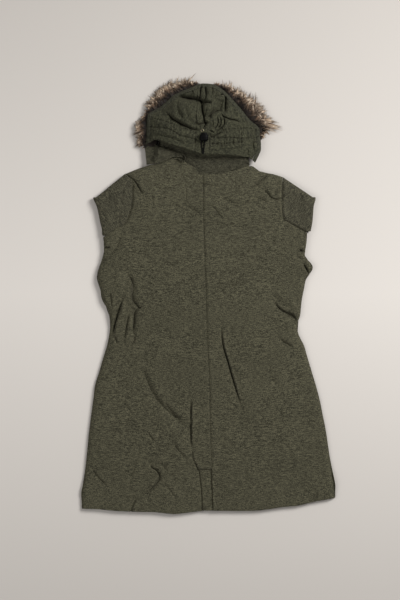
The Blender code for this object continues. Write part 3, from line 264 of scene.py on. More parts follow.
# Creases of the back and caps: path, half width, depth, height of the lip, its side of the path, open ends.
CREASES = table(Crease, [
    ([(-201, 44), (-186, 20), (-188, 0), (-185, -24), (-169, -44)], 3.4, 3.8, 1.6, -1, 2),
    ([(-169, -44), (-180, -56), (-182, -83), (-185, -110)], 3, 3.6, 1.2, -1, 1),
    ([(-208, -15), (-214, -42), (-221, -64), (-227, -83), (-231, -102), (-240, -115)], 3, 5.2, 2.2, 1, 0),
    ([(-193, -54), (-199, -88), (-206, -127)], 3, 2.8, 1.2, 1, 0),
    ([(-241, -2), (-237, -24), (-236, -47)], 2.8, 2.2, 0.8, 1, 0),
    ([(-229, -113), (-222, -132)], 2.6, 2.2, 0.6, 1, 0),
    ([(-178, -108), (-182, -125), (-191, -142)], 3.2, 2, 0.8, 1, 0),
    ([(-108, -47), (-98, -54), (-88, -69)], 4, 1, 0.4, 1, 0),
    ([(-255, 67), (-235, 89), (-221, 111), (-213, 142)], 3, 1.5, 0.6, 1, 1),
    ([(-260, 103), (-250, 103), (-238, 106)], 2.4, 6, 1.6, 1, 1),
    ([(-259, 72), (-250, 74)], 2.2, 4, 1, 1, 1),
    ([(-201, 284), (-181, 267), (-168, 247), (-158, 229)], 2.6, 3.6, 1.4, -1, 1),
    ([(-141, 240), (-136, 223), (-135, 196)], 3.6, 1.4, 0.7, -1, 0),
    ([(-167, 221), (-166, 194)], 3, 0.8, 0.4, -1, 0),
    ([(-218, 213), (-213, 230), (-206, 245)], 3.2, 1.6, 0.8, 1, 0),
    ([(-230, 223), (-227, 189), (-229, 154)], 4, 0.9, 0.5, 1, 0),
    ([(-211, 206), (-217, 179), (-223, 154)], 3.4, 1.1, 0.5, 1, 0),
    ([(-272, 208), (-255, 184), (-250, 157)], 5, 0.8, 0.4, 1, 0),
    ([(-69, 218), (-51, 205), (-33, 194), (-16, 185)], 5.5, 1.5, 0.9, 1, 0),
    ([(-93, 208), (-71, 201), (-44, 189)], 5, 0.9, 0.6, 1, 0),
    ([(-53, 255), (-54, 235), (-52, 213)], 2.4, 0.8, 0.5, 1, 0),
    ([(-29, 258), (0, 256), (34, 252)], 3.4, 1.2, 0.8, 1, 0),
    ([(0, 212), (20, 194), (38, 168)], 2.8, 1.1, 0.7, 1, 0),
    ([(24, 230), (53, 215), (94, 211), (135, 225)], 5, 1.8, 1, 1, 0),
    ([(49, 209), (78, 200), (113, 199)], 5, 1.1, 0.6, 1, 0),
    ([(22, 238), (59, 250), (93, 267)], 6, 0.9, 0.7, -1, 0),
    ([(-152, 162), (-88, 161), (-16, 164), (59, 158), (135, 156)], 3.2, 0.9, 0.5, 1, 0),
    ([(-118, 142), (-49, 145), (20, 140)], 4.5, 0.4, 0.3, 1, 0),
    ([(163, 286), (147, 279), (131, 269), (115, 254), (102, 243)], 3.2, 3, 1.4, -1, 1),
    ([(130, 248), (145, 238), (156, 225), (174, 222), (195, 232)], 2.8, 2.4, 1.3, 1, 0),
    ([(110, 228), (132, 221), (152, 208)], 4, 1.1, 0.6, 1, 0),
    ([(241, 214), (221, 198), (200, 185)], 4, 1, 0.5, 1, 0),
    ([(218, 251), (228, 223), (225, 186)], 5, 0.8, 0.5, 1, 0),
    ([(203, 208), (198, 186), (196, 169)], 3.6, 0.8, 0.4, 1, 0),
    ([(238, 100), (232, 94), (221, 99)], 2.4, 7, 2, 1, 1),
    ([(232, 65), (239, 53), (248, 36)], 2.6, 5, 1.8, -1, 2),
    ([(240, 78), (228, 76), (218, 81)], 2.4, 2.2, 0.8, 1, 1),
    ([(159, -22), (168, -37), (181, -49), (197, -57), (210, -62), (216, -74), (218, -91)],
     2.8, 4.8, 1.8, 1, 0),
    ([(132, -32), (147, -27), (162, -30)], 4, 0.8, 0.5, 1, 0),
    ([(170, -118), (189, -130), (213, -145)], 4, 2, 0.9, 1, 0),
    ([(203, -78), (207, -100), (203, -118)], 3.2, 1.4, 0.6, 1, 0),
    ([(186, -86), (194, -105)], 3.6, 0.8, 0.4, 1, 0),
    ([(32, -78), (34, -108), (38, -137), (49, -174), (63, -222), (74, -260), (82, -295)],
     1.9, 4.6, 1.7, 1, 0),
    ([(-41, -260), (-41, -318), (-41, -360), (-40, -396)], 1.9, 4.4, 1.6, 1, 0),
    ([(-40, -388), (-36, -412), (-30, -427), (-23, -441)], 1.5, 2.4, 1.0, 1, 2),
    ([(-164, -172), (-152, -216), (-130, -262), (-103, -294), (-76, -316), (-44, -348)], 7.5, 2.9, 1.7, 1, 0),
    ([(-105, -274), (-83, -303), (-64, -321)], 3.6, 1.5, 1, 1, 0),
    ([(-216, -265), (-198, -287), (-181, -311)], 3.4, 0.9, 0.6, 1, 0),
    ([(-174, -162), (-145, -181), (-125, -208)], 7, 1.3, 0.8, -1, 0),
    ([(-150, -345), (-141, -358), (-129, -375)], 2.4, 1.7, 0.8, 1, 0),
    ([(-141, -414), (-140, -434), (-126, -444), (-119, -459), (-125, -473), (-140, -488), (-152, -510)],
     2.6, 3.4, 1.7, -1, 0),
    ([(-130, -421), (-110, -431), (-98, -451)], 4.5, 1.2, 0.8, 1, 0),
    ([(-174, -363), (-170, -396), (-181, -436), (-192, -470), (-197, -495)], 4.2, 1.5, 0.9, -1, 0),
    ([(-288, -436), (-270, -458), (-244, -486)], 2.6, 1.5, 0.8, 1, 0),
    ([(-268, -377), (-277, -407)], 3.2, 0.8, 0.5, 1, 0),
    ([(-175, -510), (-182, -524), (-189, -544)], 2.4, 2.6, 1.2, 1, 2),
    ([(-81, -360), (-79, -385), (-61, -407), (-44, -419)], 4.2, 1.5, 0.8, 1, 0),
    ([(-113, -469), (-93, -492), (-74, -519)], 3.4, 1, 0.6, 1, 0),
    ([(-225, -500), (-201, -510), (-167, -507)], 4, 0.8, 0.5, 1, 0),
    ([(270, -495), (262, -510), (256, -524)], 2.8, 1.8, 0.8, -1, 0),
    ([(225, -466), (233, -490), (225, -512)], 5, 0.8, 0.5, -1, 0),
    ([(147, -172), (157, -216), (176, -250)], 6, 0.8, 0.6, 1, 0),
    ([(103, -404), (93, -441), (100, -485)], 6, 0.7, 0.5, 1, 0),
    ([(34, -478), (49, -497), (78, -507)], 5, 0.7, 0.5, 1, 0),
    ([(181, -368), (201, -397), (206, -441)], 6, 0.6, 0.5, 1, 0),
])
# Creases of the hood.
HOOD_CREASES = table(Crease, [
    ([(-78, 475), (-61, 472), (-44, 470), (-28, 467), (-12, 462)], 4.6, 9, 3.2, 1, 2),
    ([(-72, 481), (-58, 481), (-46, 482), (-32, 486)], 2.2, 2.2, 1.2, 1, 0),
    ([(-57, 491), (-40, 487), (-34, 475)], 1.8, 2.0, 0.9, 1, 0),
    ([(-17, 504), (-18, 486), (-18, 469), (-12, 452)], 2.6, 6.5, 1.8, 1, 1),
    ([(-8, 503), (-6, 484), (-5, 468), (-4, 459), (4, 452)], 2.4, 6.0, 1.5, -1, 0),
    ([(11, 497), (11, 486), (10, 472)], 2.4, 2.4, 1.0, -1, 0),
    ([(22, 494), (20, 482), (15, 470), (9, 460)], 2.4, 2.2, 1.0, -1, 0),
    ([(-11, 457), (2, 457), (7, 451)], 3.6, 6, 1, 0, 0),
    ([(41, 480), (42, 464), (41, 446), (40, 428)], 2.4, 6.5, 3.0, -1, 0),
    ([(36, 466), (31, 450), (24, 438)], 8.0, 5.5, 0, 0, 0),
    ([(36, 434), (26, 437), (14, 432), (2, 424), (-6, 415)], 3.4, 8, 0.6, 1, 0),
    ([(41, 481), (28, 475), (13, 468)], 2.4, 5.0, 2.4, 1, 0),
    ([(-14, 448), (-12, 431), (-8, 411), (-8, 402)], 3.2, 8.5, 2.4, 1, 1),
    ([(-3, 446), (-5, 430), (-6, 418)], 2.0, 3.5, 1.4, -1, 0),
    ([(0, 413), (-5, 405), (-11, 396)], 2.2, 6.0, 1.6, -1, 2),
    ([(-29, 402), (-18, 404), (-8, 407)], 2.8, 5.5, 2.0, 1, 2),
    ([(-24, 436), (-22, 420), (-24, 408)], 2.6, 2.0, 1.2, 1, 0),
    ([(-32, 440), (-31, 424), (-35, 410)], 2.8, 1.6, 1.0, 1, 0),
    ([(-74, 466), (-75, 446), (-70, 428), (-58, 412)], 4.5, 2.4, 1.4, -1, 0),
    ([(-56, 453), (-52, 431), (-42, 407)], 4.0, 1.6, 1.0, -1, 0),
    ([(-107, 431), (-94, 426), (-83, 416), (-66, 406), (-50, 398), (-36, 391), (-17, 389)],
     2.8, 7.5, 2.6, 1, 0),
    ([(30, 434), (35, 425), (44, 420), (55, 416), (69, 414), (79, 406)], 2.4, 6.5, 2.2, 1, 0),
    ([(46, 407), (37, 397), (24, 388), (14, 382)], 2.2, 3.6, 1.6, 1, 0),
    ([(34, 384), (23, 377), (8, 371)], 2.4, 4.5, 1.8, 1, 2),
    ([(27, 424), (32, 411), (29, 399), (19, 389)], 1.9, 4.4, 1.8, 1, 0),
    ([(20, 424), (25, 411), (22, 398), (13, 388)], 1.8, 3.6, 1.6, 1, 0),
    ([(35, 426), (40, 412), (38, 398), (30, 388)], 2.1, 4.2, 1.8, 1, 0),
    ([(10, 416), (12, 404), (10, 394)], 2.0, 1.6, 0.9, 1, 0),
    ([(3, 388), (10, 384), (16, 381)], 1.6, 2.4, 1.0, 0, 0),
    ([(51, 402), (69, 399), (91, 402)], 3.4, 1.4, 0.9, 1, 0),
    ([(69, 448), (86, 429), (103, 409)], 4, 1.3, 0.9, -1, 0),
    ([(49, 473), (66, 451), (78, 434)], 3.4, 1.2, 0.9, 1, 0),
    ([(-125, 429), (-110, 441), (-93, 453)], 4, 1.2, 0.9, 1, 0),
    ([(-137, 377), (-110, 374), (-84, 366), (-50, 352)], 4.0, 1.2, 1.0, 1, 0),
    ([(15, 345), (54, 341), (93, 348)], 4.5, 1.0, 0.8, 1, 0),
    ([(118, 372), (110, 356), (114, 336)], 3.0, 2.6, 1.4, 1, 0),
    ([(98, 343), (96, 326)], 3, 1.8, 0.9, 1, 0),
    ([(-24, 362), (-17, 357), (-15, 345), (-14, 330)], 2.4, 3.0, 1.4, 0, 2),
    ([(62, 370), (60, 360), (62, 350)], 2.2, 1.2, 0.8, 1, 0),
    ([(84, 390), (80, 380), (86, 371)], 2.4, 1.3, 0.8, 1, 0),
    ([(-96, 403), (-84, 394), (-78, 384)], 2.4, 1.3, 0.8, 1, 0),
])
# Stitch lines of the drawcord casing.
CASING = [
    [(-130, 417), (-115, 413), (-102, 409), (-76, 399), (-33, 383)],
    [(-138, 397), (-110, 394), (-94, 390), (-80, 382), (-66, 374), (-28, 365)],
    [(37, 387), (52, 391), (69, 392), (96, 394), (126, 390)],
    [(7, 370), (27, 368), (52, 370), (85, 368), (123, 374)],
    [(-2, 356), (28, 354), (52, 356), (83, 360)],
]


def linear(colour):
    """Linear RGBA of an sRGB hex colour."""
    parts = [int(colour[i:i + 2], 16) / 255.0 for i in (0, 2, 4)]
    return [p / 12.92 if p <= 0.04045 else ((p + 0.055) / 1.055) ** 2.4 for p in parts] + [1.0]


# ---- lines and heights ----

def smooth(q):
    """Soft step from 0 to 1."""
    q = np.clip(q, 0.0, 1.0)
    return q * q * (3.0 - 2.0 * q)


def bell(away, width):
    """1 where away is 0, and next to nothing three widths off."""
    return np.exp(-(away / width) ** 2)


def ripple(run, short, long):
    """Uneven wave along a seam, as stitching draws cloth up."""
    return np.sin(run / short + 2.0 * np.sin(run / long))


def unit(rows):
    """Directions made one long."""
    return rows / np.maximum(np.linalg.norm(rows, axis=-1, keepdims=True), 1e-9)


def sampled(line, run, at):
    """Points of a line at given lengths along it."""
    return np.stack([np.interp(at, run, line[:, k]) for k in range(line.shape[1])], -1)


def refine(grid, times, axis=0):
    """Grid with each step along an axis cut into smaller ones on a soft curve through its points."""
    grid = np.moveaxis(np.asarray(grid, float), axis, 0)
    ends = np.concatenate([2 * grid[:1] - grid[1:2], grid, 2 * grid[-1:] - grid[-2:-1]])
    p0, p1, p2, p3 = ends[:-3], ends[1:-2], ends[2:-1], ends[3:]
    steps = []
    for t in np.arange(times) / times:
        steps.append(0.5 * (2 * p1 + (p2 - p0) * t + (2 * p0 - 5 * p1 + 4 * p2 - p3) * t ** 2
                            + (3 * p1 - p0 - 3 * p2 + p3) * t ** 3))
    fine = np.stack(steps, axis=1).reshape((-1,) + grid.shape[1:])
    return np.moveaxis(np.concatenate([fine, grid[-1:]]), 0, axis)


def spline(marks, spacing):
    """Evenly spaced points on a soft curve through marks."""
    line = refine(marks, 12)
    run = lengths(line)
    return sampled(line, run, np.linspace(0.0, run[-1], max(3, int(round(run[-1] / spacing)) + 1)))


def lengths(line):
    """Length along a line up to each of its points."""
    steps = np.linalg.norm(np.diff(np.asarray(line, float), axis=0), axis=1)
    return np.concatenate([[0.0], np.cumsum(steps)])


def column(marks, value, key=1, wanted=0):
    """One column of a table of marks at a value of another."""
    rows = np.asarray(marks, float)
    rows = rows[np.argsort(rows[:, key], kind="stable")]
    return np.interp(value, rows[:, key], rows[:, wanted])


def path_point(marks, share):
    """Points at shares of a line's length."""
    line = np.asarray(marks, float)
    run = lengths(line)
    return sampled(line, run, np.asarray(share, float) * run[-1])


def share_at_x(marks, x):
    """Share of the length of a line at which it first reaches x."""
    line = np.asarray(marks, float)
    run = lengths(line)
    for i in range(len(line) - 1):
        low, high = line[i, 0], line[i + 1, 0]
        if low <= x <= high and high > low:
            return (run[i] + (x - low) / (high - low) * (run[i + 1] - run[i])) / run[-1]
    return 1.0


def beside(marks, x, y):
    """Distance from a line, its sign (+ on the left of travel), and the share of its length."""
    return nearest(marks, x, y)[:3]


def nearest(marks, x, y):
    """As beside, and the offset from the nearest point of the line."""
    line = np.asarray(marks, float)
    run = lengths(line)
    best = np.full(x.shape, 1e9)
    signed, share = np.zeros(x.shape), np.zeros(x.shape)
    off_x, off_y = np.zeros(x.shape), np.zeros(x.shape)
    for i in range(len(line) - 1):
        ax, ay = line[i]
        dx, dy = line[i + 1] - line[i]
        size = max(dx * dx + dy * dy, 1e-9)
        t = np.clip(((x - ax) * dx + (y - ay) * dy) / size, 0.0, 1.0)
        gap = np.hypot(x - ax - t * dx, y - ay - t * dy)
        near = gap < best
        best = np.where(near, gap, best)
        signed = np.where(near, np.sign(dx * (y - ay) - dy * (x - ax)) * gap, signed)
        share = np.where(near, (run[i] + t * (run[i + 1] - run[i])) / run[-1], share)
        off_x, off_y = np.where(near, x - ax - t * dx, off_x), np.where(near, y - ay - t * dy, off_y)
    return best, signed, share, off_x, off_y


def beside_each(creases, reach, x, y):
    """For each crease: the places within some half widths of it, and how they lie beside its line."""
    for crease in creases:
        line = spline(crease.path, CREASE_STEP)
        far = crease.half * reach
        low, high = line.min(axis=0) - far, line.max(axis=0) + far
        near = (x > low[0]) & (x < high[0]) & (y > low[1]) & (y < high[1])
        yield crease, near, nearest(line, x[near], y[near])


def end_fade(crease, share, part):
    """Fades a crease out towards each end that isn't open."""
    fade = np.ones(share.shape)
    if crease.open_ends != 1:
        fade = fade * smooth(share / part)
    if crease.open_ends != 2:
        fade = fade * smooth((1.0 - share) / part)
    return fade


def gathered(plan, creases):
    """Plan grid drawn in towards the creases, so that the mesh is finest there; its borders stay."""
    plan, freedom = plan.copy(), border_freedom(plan)
    for crease, near, (away, _, _, off_x, off_y) in beside_each(creases, 6.5, plan[..., 0], plan[..., 1]):
        draw = 0.62 * bell(away, crease.half * 2.6) * freedom[near]
        plan[near] -= np.stack([off_x, off_y], -1) * draw[:, None]
    return plan


def border_freedom(grid):
    """0 on the border of a grid, rising to 1 a few cells inside."""
    i, j = (np.minimum(np.arange(n), np.arange(n)[::-1]) for n in grid.shape[:2])
    return smooth(np.minimum(i[:, None], j[None, :]) / 5.0)


def distance_to(marks, x, y):
    """Distance of each place from a line."""
    return beside(marks, np.asarray(x, float), np.asarray(y, float))[0]


def fold_rise(folds, x, y):
    """Sum of broad ridges and troughs with faded ends."""
    total = np.zeros(x.shape)
    for fold in folds:
        run = np.array([fold.x1 - fold.x0, fold.y1 - fold.y0])
        length = math.hypot(*run)
        ux, uy = run / length
        s = (x - fold.x0) * ux + (y - fold.y0) * uy
        across = (x - fold.x0) * -uy + (y - fold.y0) * ux
        beyond = np.maximum(0.0, np.maximum(-s, s - length))
        spread = fold.half_width * BELL_SHARE
        total += fold.rise * np.exp(-((across ** 2 + beyond ** 2) / (2 * spread ** 2)))
    return total


def crease_rise(creases, x, y):
    """Sum of narrow creases: a trough along each path with a soft lip on one side or both."""
    total = np.zeros(x.shape)
    for crease, near, (away, signed, share, _, _) in beside_each(creases, 6.0, x, y):
        rise = -crease.depth * np.exp(-np.sqrt((away / crease.half) ** 2 + 0.04) * 1.25)
        for side in (1.0, -1.0) if crease.lean == 0 else (float(crease.lean),):
            rise += 0.8 * crease.lip * bell(signed - side * 2.0 * crease.half, 1.5 * crease.half)
        total[near] += rise * end_fade(crease, share, 0.3)
    return total


def fold_over(fine, creases):
    """Pushes the lips of a fine grid over their own troughs, as cloth folds over itself."""
    x, y, share = fine[..., 0].copy(), fine[..., 1].copy(), border_freedom(fine)
    leaning = [crease for crease in creases if crease.lean]
    for crease, near, (away, signed, along, off_x, off_y) in beside_each(leaning, 5.0, x, y):
        lip = signed * crease.lean > 0
        push = bell(away - 1.5 * crease.half, crease.half) * lip * end_fade(crease, along, 0.25) * share[near]
        push *= 0.5 * min(crease.depth, 1.6 * crease.half) / np.maximum(away, 0.3)
        fine[near, 0] -= off_x * push
        fine[near, 1] -= off_y * push


def soft_noise(x, y, size, seed):
    """Smooth unevenness of about the given size, from -1 to 1."""
    rng = np.random.default_rng(seed)
    total = np.zeros(x.shape)
    for _ in range(14):
        turn = rng.uniform(0.0, 2.0 * math.pi)
        wave = 2.0 * math.pi / (size * rng.uniform(0.7, 1.6))
        total += np.sin((x * math.cos(turn) + y * math.sin(turn)) * wave + rng.uniform(0.0, 6.28))
    return total / 4.6


def uneven(x, y, size, seed):
    """The same, from 0 to 2."""
    return 1.0 + np.clip(soft_noise(x, y, size, seed), -1.0, 1.0)


LEFT_LINE = [(row[1], row[0]) for row in SIDES] + FOLD_LEFT[::-1] + SHOULDER_LEFT[::-1][1:] + NECK[1:3]
RIGHT_LINE = ([(row[2], row[0]) for row in SIDES] + FOLD_RIGHT[::-1] + SHOULDER_RIGHT[::-1][1:]
              + NECK[-2:-7:-1])
ARMHOLES = (spline(ARMHOLE_LEFT[:-1], 4.0), spline(ARMHOLE_RIGHT, 4.0))
HOOD_EDGE = spline(HOOD_FACE, 4.0)


def side_distance(x, y):
    """Distance of each place from the nearer side of the body."""
    return np.minimum(distance_to(LEFT_LINE, x, y), distance_to(RIGHT_LINE, x, y))


def level(levels, x, y, inside):
    """Height between a side value and a centre value, by how far inside the outline a place is."""
    rows = np.array(levels, float)
    centre, left, right = (np.interp(y, rows[:, 0], rows[:, k]) for k in (1, 2, 3))
    side = np.where(x < 0, left, right)
    return side + (centre - side) * smooth(inside)


def back_height(x, y):
    """Broad form of the back and caps, and the share to which small relief shows near the sides."""
    away = side_distance(x, y)
    full = level(TOP_LEVEL, x, y, away / BACK_SLOPE) + fold_rise(FOLDS, x, y)
    seam = level(SEAM_LEVEL, x, y, 0.0)
    roll = np.sqrt(1.0 - (1.0 - np.clip(away / EDGE_ROLL, 0.0, 1.0)) ** 2)
    return seam + (full - seam) * roll, roll


def back_relief(x, y, crease_share):
    """Creases, seam grooves with their small puckers, and the unevenness of cloth that lies loose."""
    rise = CREASE_SHARE * crease_rise(CREASES, x, y) * crease_share
    for line, depth in ((ARMHOLES[0], ARMHOLE_GROOVE), (ARMHOLES[1], ARMHOLE_GROOVE), (CENTRE_SEAM[1:], 2.0)):
        away, _, share = beside(line, x, y)
        pucker = ripple(share * lengths(line)[-1], 3.6, 17.0) * bell(away, 5.0)
        rise += 0.4 * pucker - depth * bell(away, GROOVE_WIDTH)
        rise += 0.3 * depth * bell(away - 6.0, 3.0)
    rise += 0.5 * soft_noise(x, y, 52.0, 3) + 0.16 * soft_noise(x, y, 15.0, 4)
    return rise - 0.25 * bell(y - column(HEM, x, 0, 1) - HEM_STITCH_UP, 3.0)


def armhole_groove(x, y, roll):
    """The armhole seam's groove where the cloth starts to roll over the side."""
    rise = sum(-ARMHOLE_GROOVE * bell(beside(line, x, y)[0], GROOVE_WIDTH) for line in ARMHOLES)
    return rise * (1.0 - roll) * smooth(roll * 4.0)


def front_height(x, y):
    """Underside of the fronts, which rises where the sleeves lie beneath them."""
    return level(FRONT_LEVEL, x, y, side_distance(x, y) / DROOP)


def hood_height(x, y):
    """Broad form of the hood, and how far inside its edge a place is, from 0 to 1."""
    q = np.clip(distance_to(HOOD_EDGE, x, y) / HOOD_ROUND, 0.0, 1.0)
    folds = fold_rise(HOOD_FOLDS, x, y) * smooth(q * 4.0)
    return HOOD_EDGE_Z + HOOD_RISE * (1.0 - (1.0 - q) ** 2) + folds, q


# ---- meshes ----

def put(name, data):
    """Object of some data, placed in the scene."""
    made = bpy.data.objects.new(name, data)
    bpy.context.scene.collection.objects.link(made)
    return made


def mesh_object(name, points, faces, material, uv=None, sharp=50.0):
    """Smooth shaded object from millimetre points; faces steeper than the sharp angle keep their edge."""
    mesh = bpy.data.meshes.new(name)
    points = (np.asarray(points, float) - MIDDLE) * MM
    mesh.from_pydata(points.tolist(), [], faces)
    mesh.shade_smooth()
    mesh.set_sharp_from_angle(angle=math.radians(sharp))
    if uv is not None:
        layer = mesh.uv_layers.new(name="OFBake")
        corner = np.zeros(len(mesh.loops), dtype=np.int32)
        mesh.loops.foreach_get("vertex_index", corner)
        layer.uv.foreach_set("vector", np.asarray(uv, np.float32)[corner].ravel())
    for one in (material if isinstance(material, (list, tuple)) else [material]):
        mesh.materials.append(one)
    return put(name, mesh)


def cells(index, along_first=False):
    """Quads of a grid of point numbers, each of them turning across the grid first, or along it."""
    a, b, c, d = index[:-1, :-1], index[:-1, 1:], index[1:, 1:], index[1:, :-1]
    return np.stack([a, d, c, b] if along_first else [a, b, c, d], -1).reshape(-1, 4).tolist()


def ring_cells(index, along_first=False):
    """Quads of a grid of point numbers whose rows are closed rings."""
    return cells(np.pad(index, ((0, 0), (0, 1)), mode="wrap"), along_first)


def normals(grid):
    """Upward normals of a grid of points."""
    normal = unit(np.cross(np.gradient(grid, axis=0), np.gradient(grid, axis=1)))
    return -normal if normal[..., 2].mean() < 0 else normal


def shell(name, fine, inner, material, up=True):
    """Closed sheet: a fine outer grid, an inner grid with a point at every fourth, and a rim between."""
    index = np.arange(fine[..., 0].size).reshape(fine.shape[:2])
    low = index.size + np.arange(inner[..., 0].size).reshape(inner.shape[:2])
    points = np.concatenate([fine.reshape(-1, 3), inner.reshape(-1, 3)])
    faces = cells(index, along_first=True) + cells(low)
    borders = ((index[:, 0], low[:, 0], False), (index[:, -1], low[:, -1], True),
               (index[0, :], low[0, :], True), (index[-1, :], low[-1, :], False))
    for edge, coarse, turned in borders:
        times = (len(edge) - 1) // (len(coarse) - 1)
        middle = times // 2
        for k in range(len(coarse) - 1):
            c0, c1 = int(coarse[k]), int(coarse[k + 1])
            e = edge[k * times:(k + 1) * times + 1].tolist()
            fan = [(e[j + 1], e[j], c0) for j in range(middle)] + [(e[middle], c0, c1)]
            fan += [(e[j + 1], e[j], c1) for j in range(middle, times)]
            faces += [f[::-1] if turned else f for f in fan]
    across = np.cross(np.gradient(fine, axis=0), np.gradient(fine, axis=1))[..., 2].mean()
    if (across > 0) != up:
        faces = [face[::-1] for face in faces]
    return mesh_object(name + "_cloth", points, faces, material)


def inner_side(base, fine, thickness, borders):
    """Inner grid of a shell, at every fourth point and below the deepest crease near each one."""
    coarse = base[::COARSE, ::COARSE]
    sunk = np.maximum(base[..., 2] - fine[..., 2], 0.0)
    sunk = np.pad(sunk, COARSE, mode="edge")
    deepest = np.zeros(coarse.shape[:2])
    for di in range(2 * COARSE + 1):
        for dj in range(2 * COARSE + 1):
            part = sunk[di:di + base.shape[0]:COARSE, dj:dj + base.shape[1]:COARSE]
            deepest = np.maximum(deepest, part)
    normal = normals(coarse)
    for where, direction in borders:
        normal[where] = direction
    inner = coarse - normal * thickness
    inner[..., 2] -= deepest
    return inner


EVERY_RIM = [((0,), UP), ((-1,), UP), ((slice(None), 0), UP), ((slice(None), -1), UP)]


def join(first, second):
    """Second mesh added to the first, and its own object taken away."""
    mesh = bmesh.new()
    mesh.from_mesh(first.data)
    mesh.from_mesh(second.data)
    mesh.to_mesh(first.data)
    mesh.free()
    bpy.data.objects.remove(second)


def cloth_sheet(name, base, relief, thickness, material, borders=EVERY_RIM, creases=()):
    """Shell whose outer side is a broad form with its relief added to the height."""
    fine = base.copy()
    fine[..., 2] += relief
    fold_over(fine, creases)
    return shell(name, fine, inner_side(base, fine, thickness, borders), material)


def tube(name, rings, material):
    """Closed skin through rings of one size, the last joined to the first."""
    index = np.arange(rings[..., 0].size).reshape(rings.shape[:2])
    quads = ring_cells(np.concatenate([index, index[:1]]))
    return mesh_object(name + "_cloth", rings.reshape(-1, 3), outward(rings.reshape(-1, 3), quads), material)


def capped(name, rings, material, along_first=False, sharp=50.0):
    """Closed skin through rings of one size, with a face at each end."""
    index = np.arange(rings[..., 0].size).reshape(rings.shape[:2])
    quads = ring_cells(index, along_first)
    caps = [index[0], index[-1, ::-1]] if along_first else [index[0, ::-1], index[-1]]
    points = rings.reshape(-1, 3)
    faces = outward(points, quads, [cap.tolist() for cap in caps])
    return mesh_object(name, points, faces, material, sharp=sharp)


def outward(points, quads, caps=()):
    """Faces of a skin, its quads and then its caps, turned so that they face out."""
    faces = quads + list(caps)
    inside_out = enclosed(points - points.mean(axis=0), quads) < 0
    return [face[::-1] for face in faces] if inside_out else faces


def enclosed(points, faces):
    """Signed volume of a closed mesh of quads."""
    corner = points[np.asarray(faces)]
    a, b, c, d = (corner[:, k] for k in range(4))
    return float((np.einsum("ij,ij->i", a, np.cross(b, c)) + np.einsum("ij,ij->i", a, np.cross(c, d))).sum())


def tree_of(made):
    """Tree of an object's faces, to cast rays at."""
    mesh = made.data
    return BVHTree.FromPolygons([v.co for v in mesh.vertices], [tuple(p.vertices) for p in mesh.polygons])


def rest_on(trees, x, y):
    """Height of the highest of some surfaces at a place, and its upward normal, in millimetres."""
    start = Vector(((x - MIDDLE[0]) * MM, (y - MIDDLE[1]) * MM, RAY_FROM))
    best, facing = 0.0, UP
    for tree in trees:
        spot, normal, _, _ = tree.ray_cast(start, Vector((0.0, 0.0, -1.0)))
        if spot is not None and spot.z / MM > best:
            best, facing = spot.z / MM, tuple(normal if normal.z > 0 else -normal)
    return best, facing


def seat_under(trees, plan, steps):
    """Highest level of some surfaces round each place of a plan, looked for by steps along Y."""
    return np.array([max(rest_on(trees, x + dx, y + dy)[0] for dx in (-4.0, 0.0, 4.0) for dy in steps)
                     for x, y in plan])


# ---- materials ----

def fill(tree, made, inputs):
    """Links or sets a node's inputs."""
    for name, value in inputs.items():
        if isinstance(value, bpy.types.NodeSocket):
            tree.links.new(value, made.inputs[name])
        else:
            made.inputs[name].default_value = value
    return made


def node(tree, kind, inputs=None, **settings):
    """A shader node with its settings made and its inputs linked or filled."""
    made = tree.nodes.new(kind)
    for name, value in settings.items():
        setattr(made, name, value)
    return fill(tree, made, inputs or {})


def new_material(name):
    """A material, its node tree and its shader."""
    material = bpy.data.materials.new(name)
    material.use_nodes = True
    return material, material.node_tree, material.node_tree.nodes["Principled BSDF"]


def ramp(tree, factor, stops):
    """Colour looked up from a factor among stops of place and colour."""
    made = node(tree, "ShaderNodeValToRGB", {"Fac": factor})
    elements = made.color_ramp.elements
    while len(elements) < len(stops):
        elements.new(0.5)
    for element, (position, colour) in zip(elements, stops):
        element.position = position
        element.color = linear(colour)
    return made.outputs["Color"]


def coordinates_of(tree):
    """Place on the object, in metres."""
    return node(tree, "ShaderNodeTexCoord").outputs["Object"]


def maths(tree, operation, *values):
    """Result of an operation on sockets and numbers."""
    return node(tree, "ShaderNodeMath", dict(enumerate(values)), operation=operation).outputs[0]


def raised(tree, height, strength, distance):
    """Normal of a surface that a height lifts by up to a distance in millimetres."""
    return node(tree, "ShaderNodeBump", {
        "Height": height, "Strength": strength, "Distance": distance * MM}).outputs["Normal"]


def slubs(tree, coordinates, turn, long, high, seed):
    """Tone of short lengths of yarn, long along the weft and one or two yarns high."""
    laid = node(tree, "ShaderNodeMapping", {
        "Vector": coordinates, "Rotation": (0.0, 0.0, math.radians(turn)),
        "Location": (seed, seed * 0.7, 0.0)}).outputs["Vector"]
    sized = node(tree, "ShaderNodeMapping", {
        "Vector": laid, "Scale": [1.0 / (size * MM) for size in (long, high, 4.0 * high)]})
    return node(tree, "ShaderNodeTexNoise", {
        "Vector": sized.outputs["Vector"], "Scale": 1.0, "Detail": 1.0, "Roughness": 0.6}).outputs["Fac"]


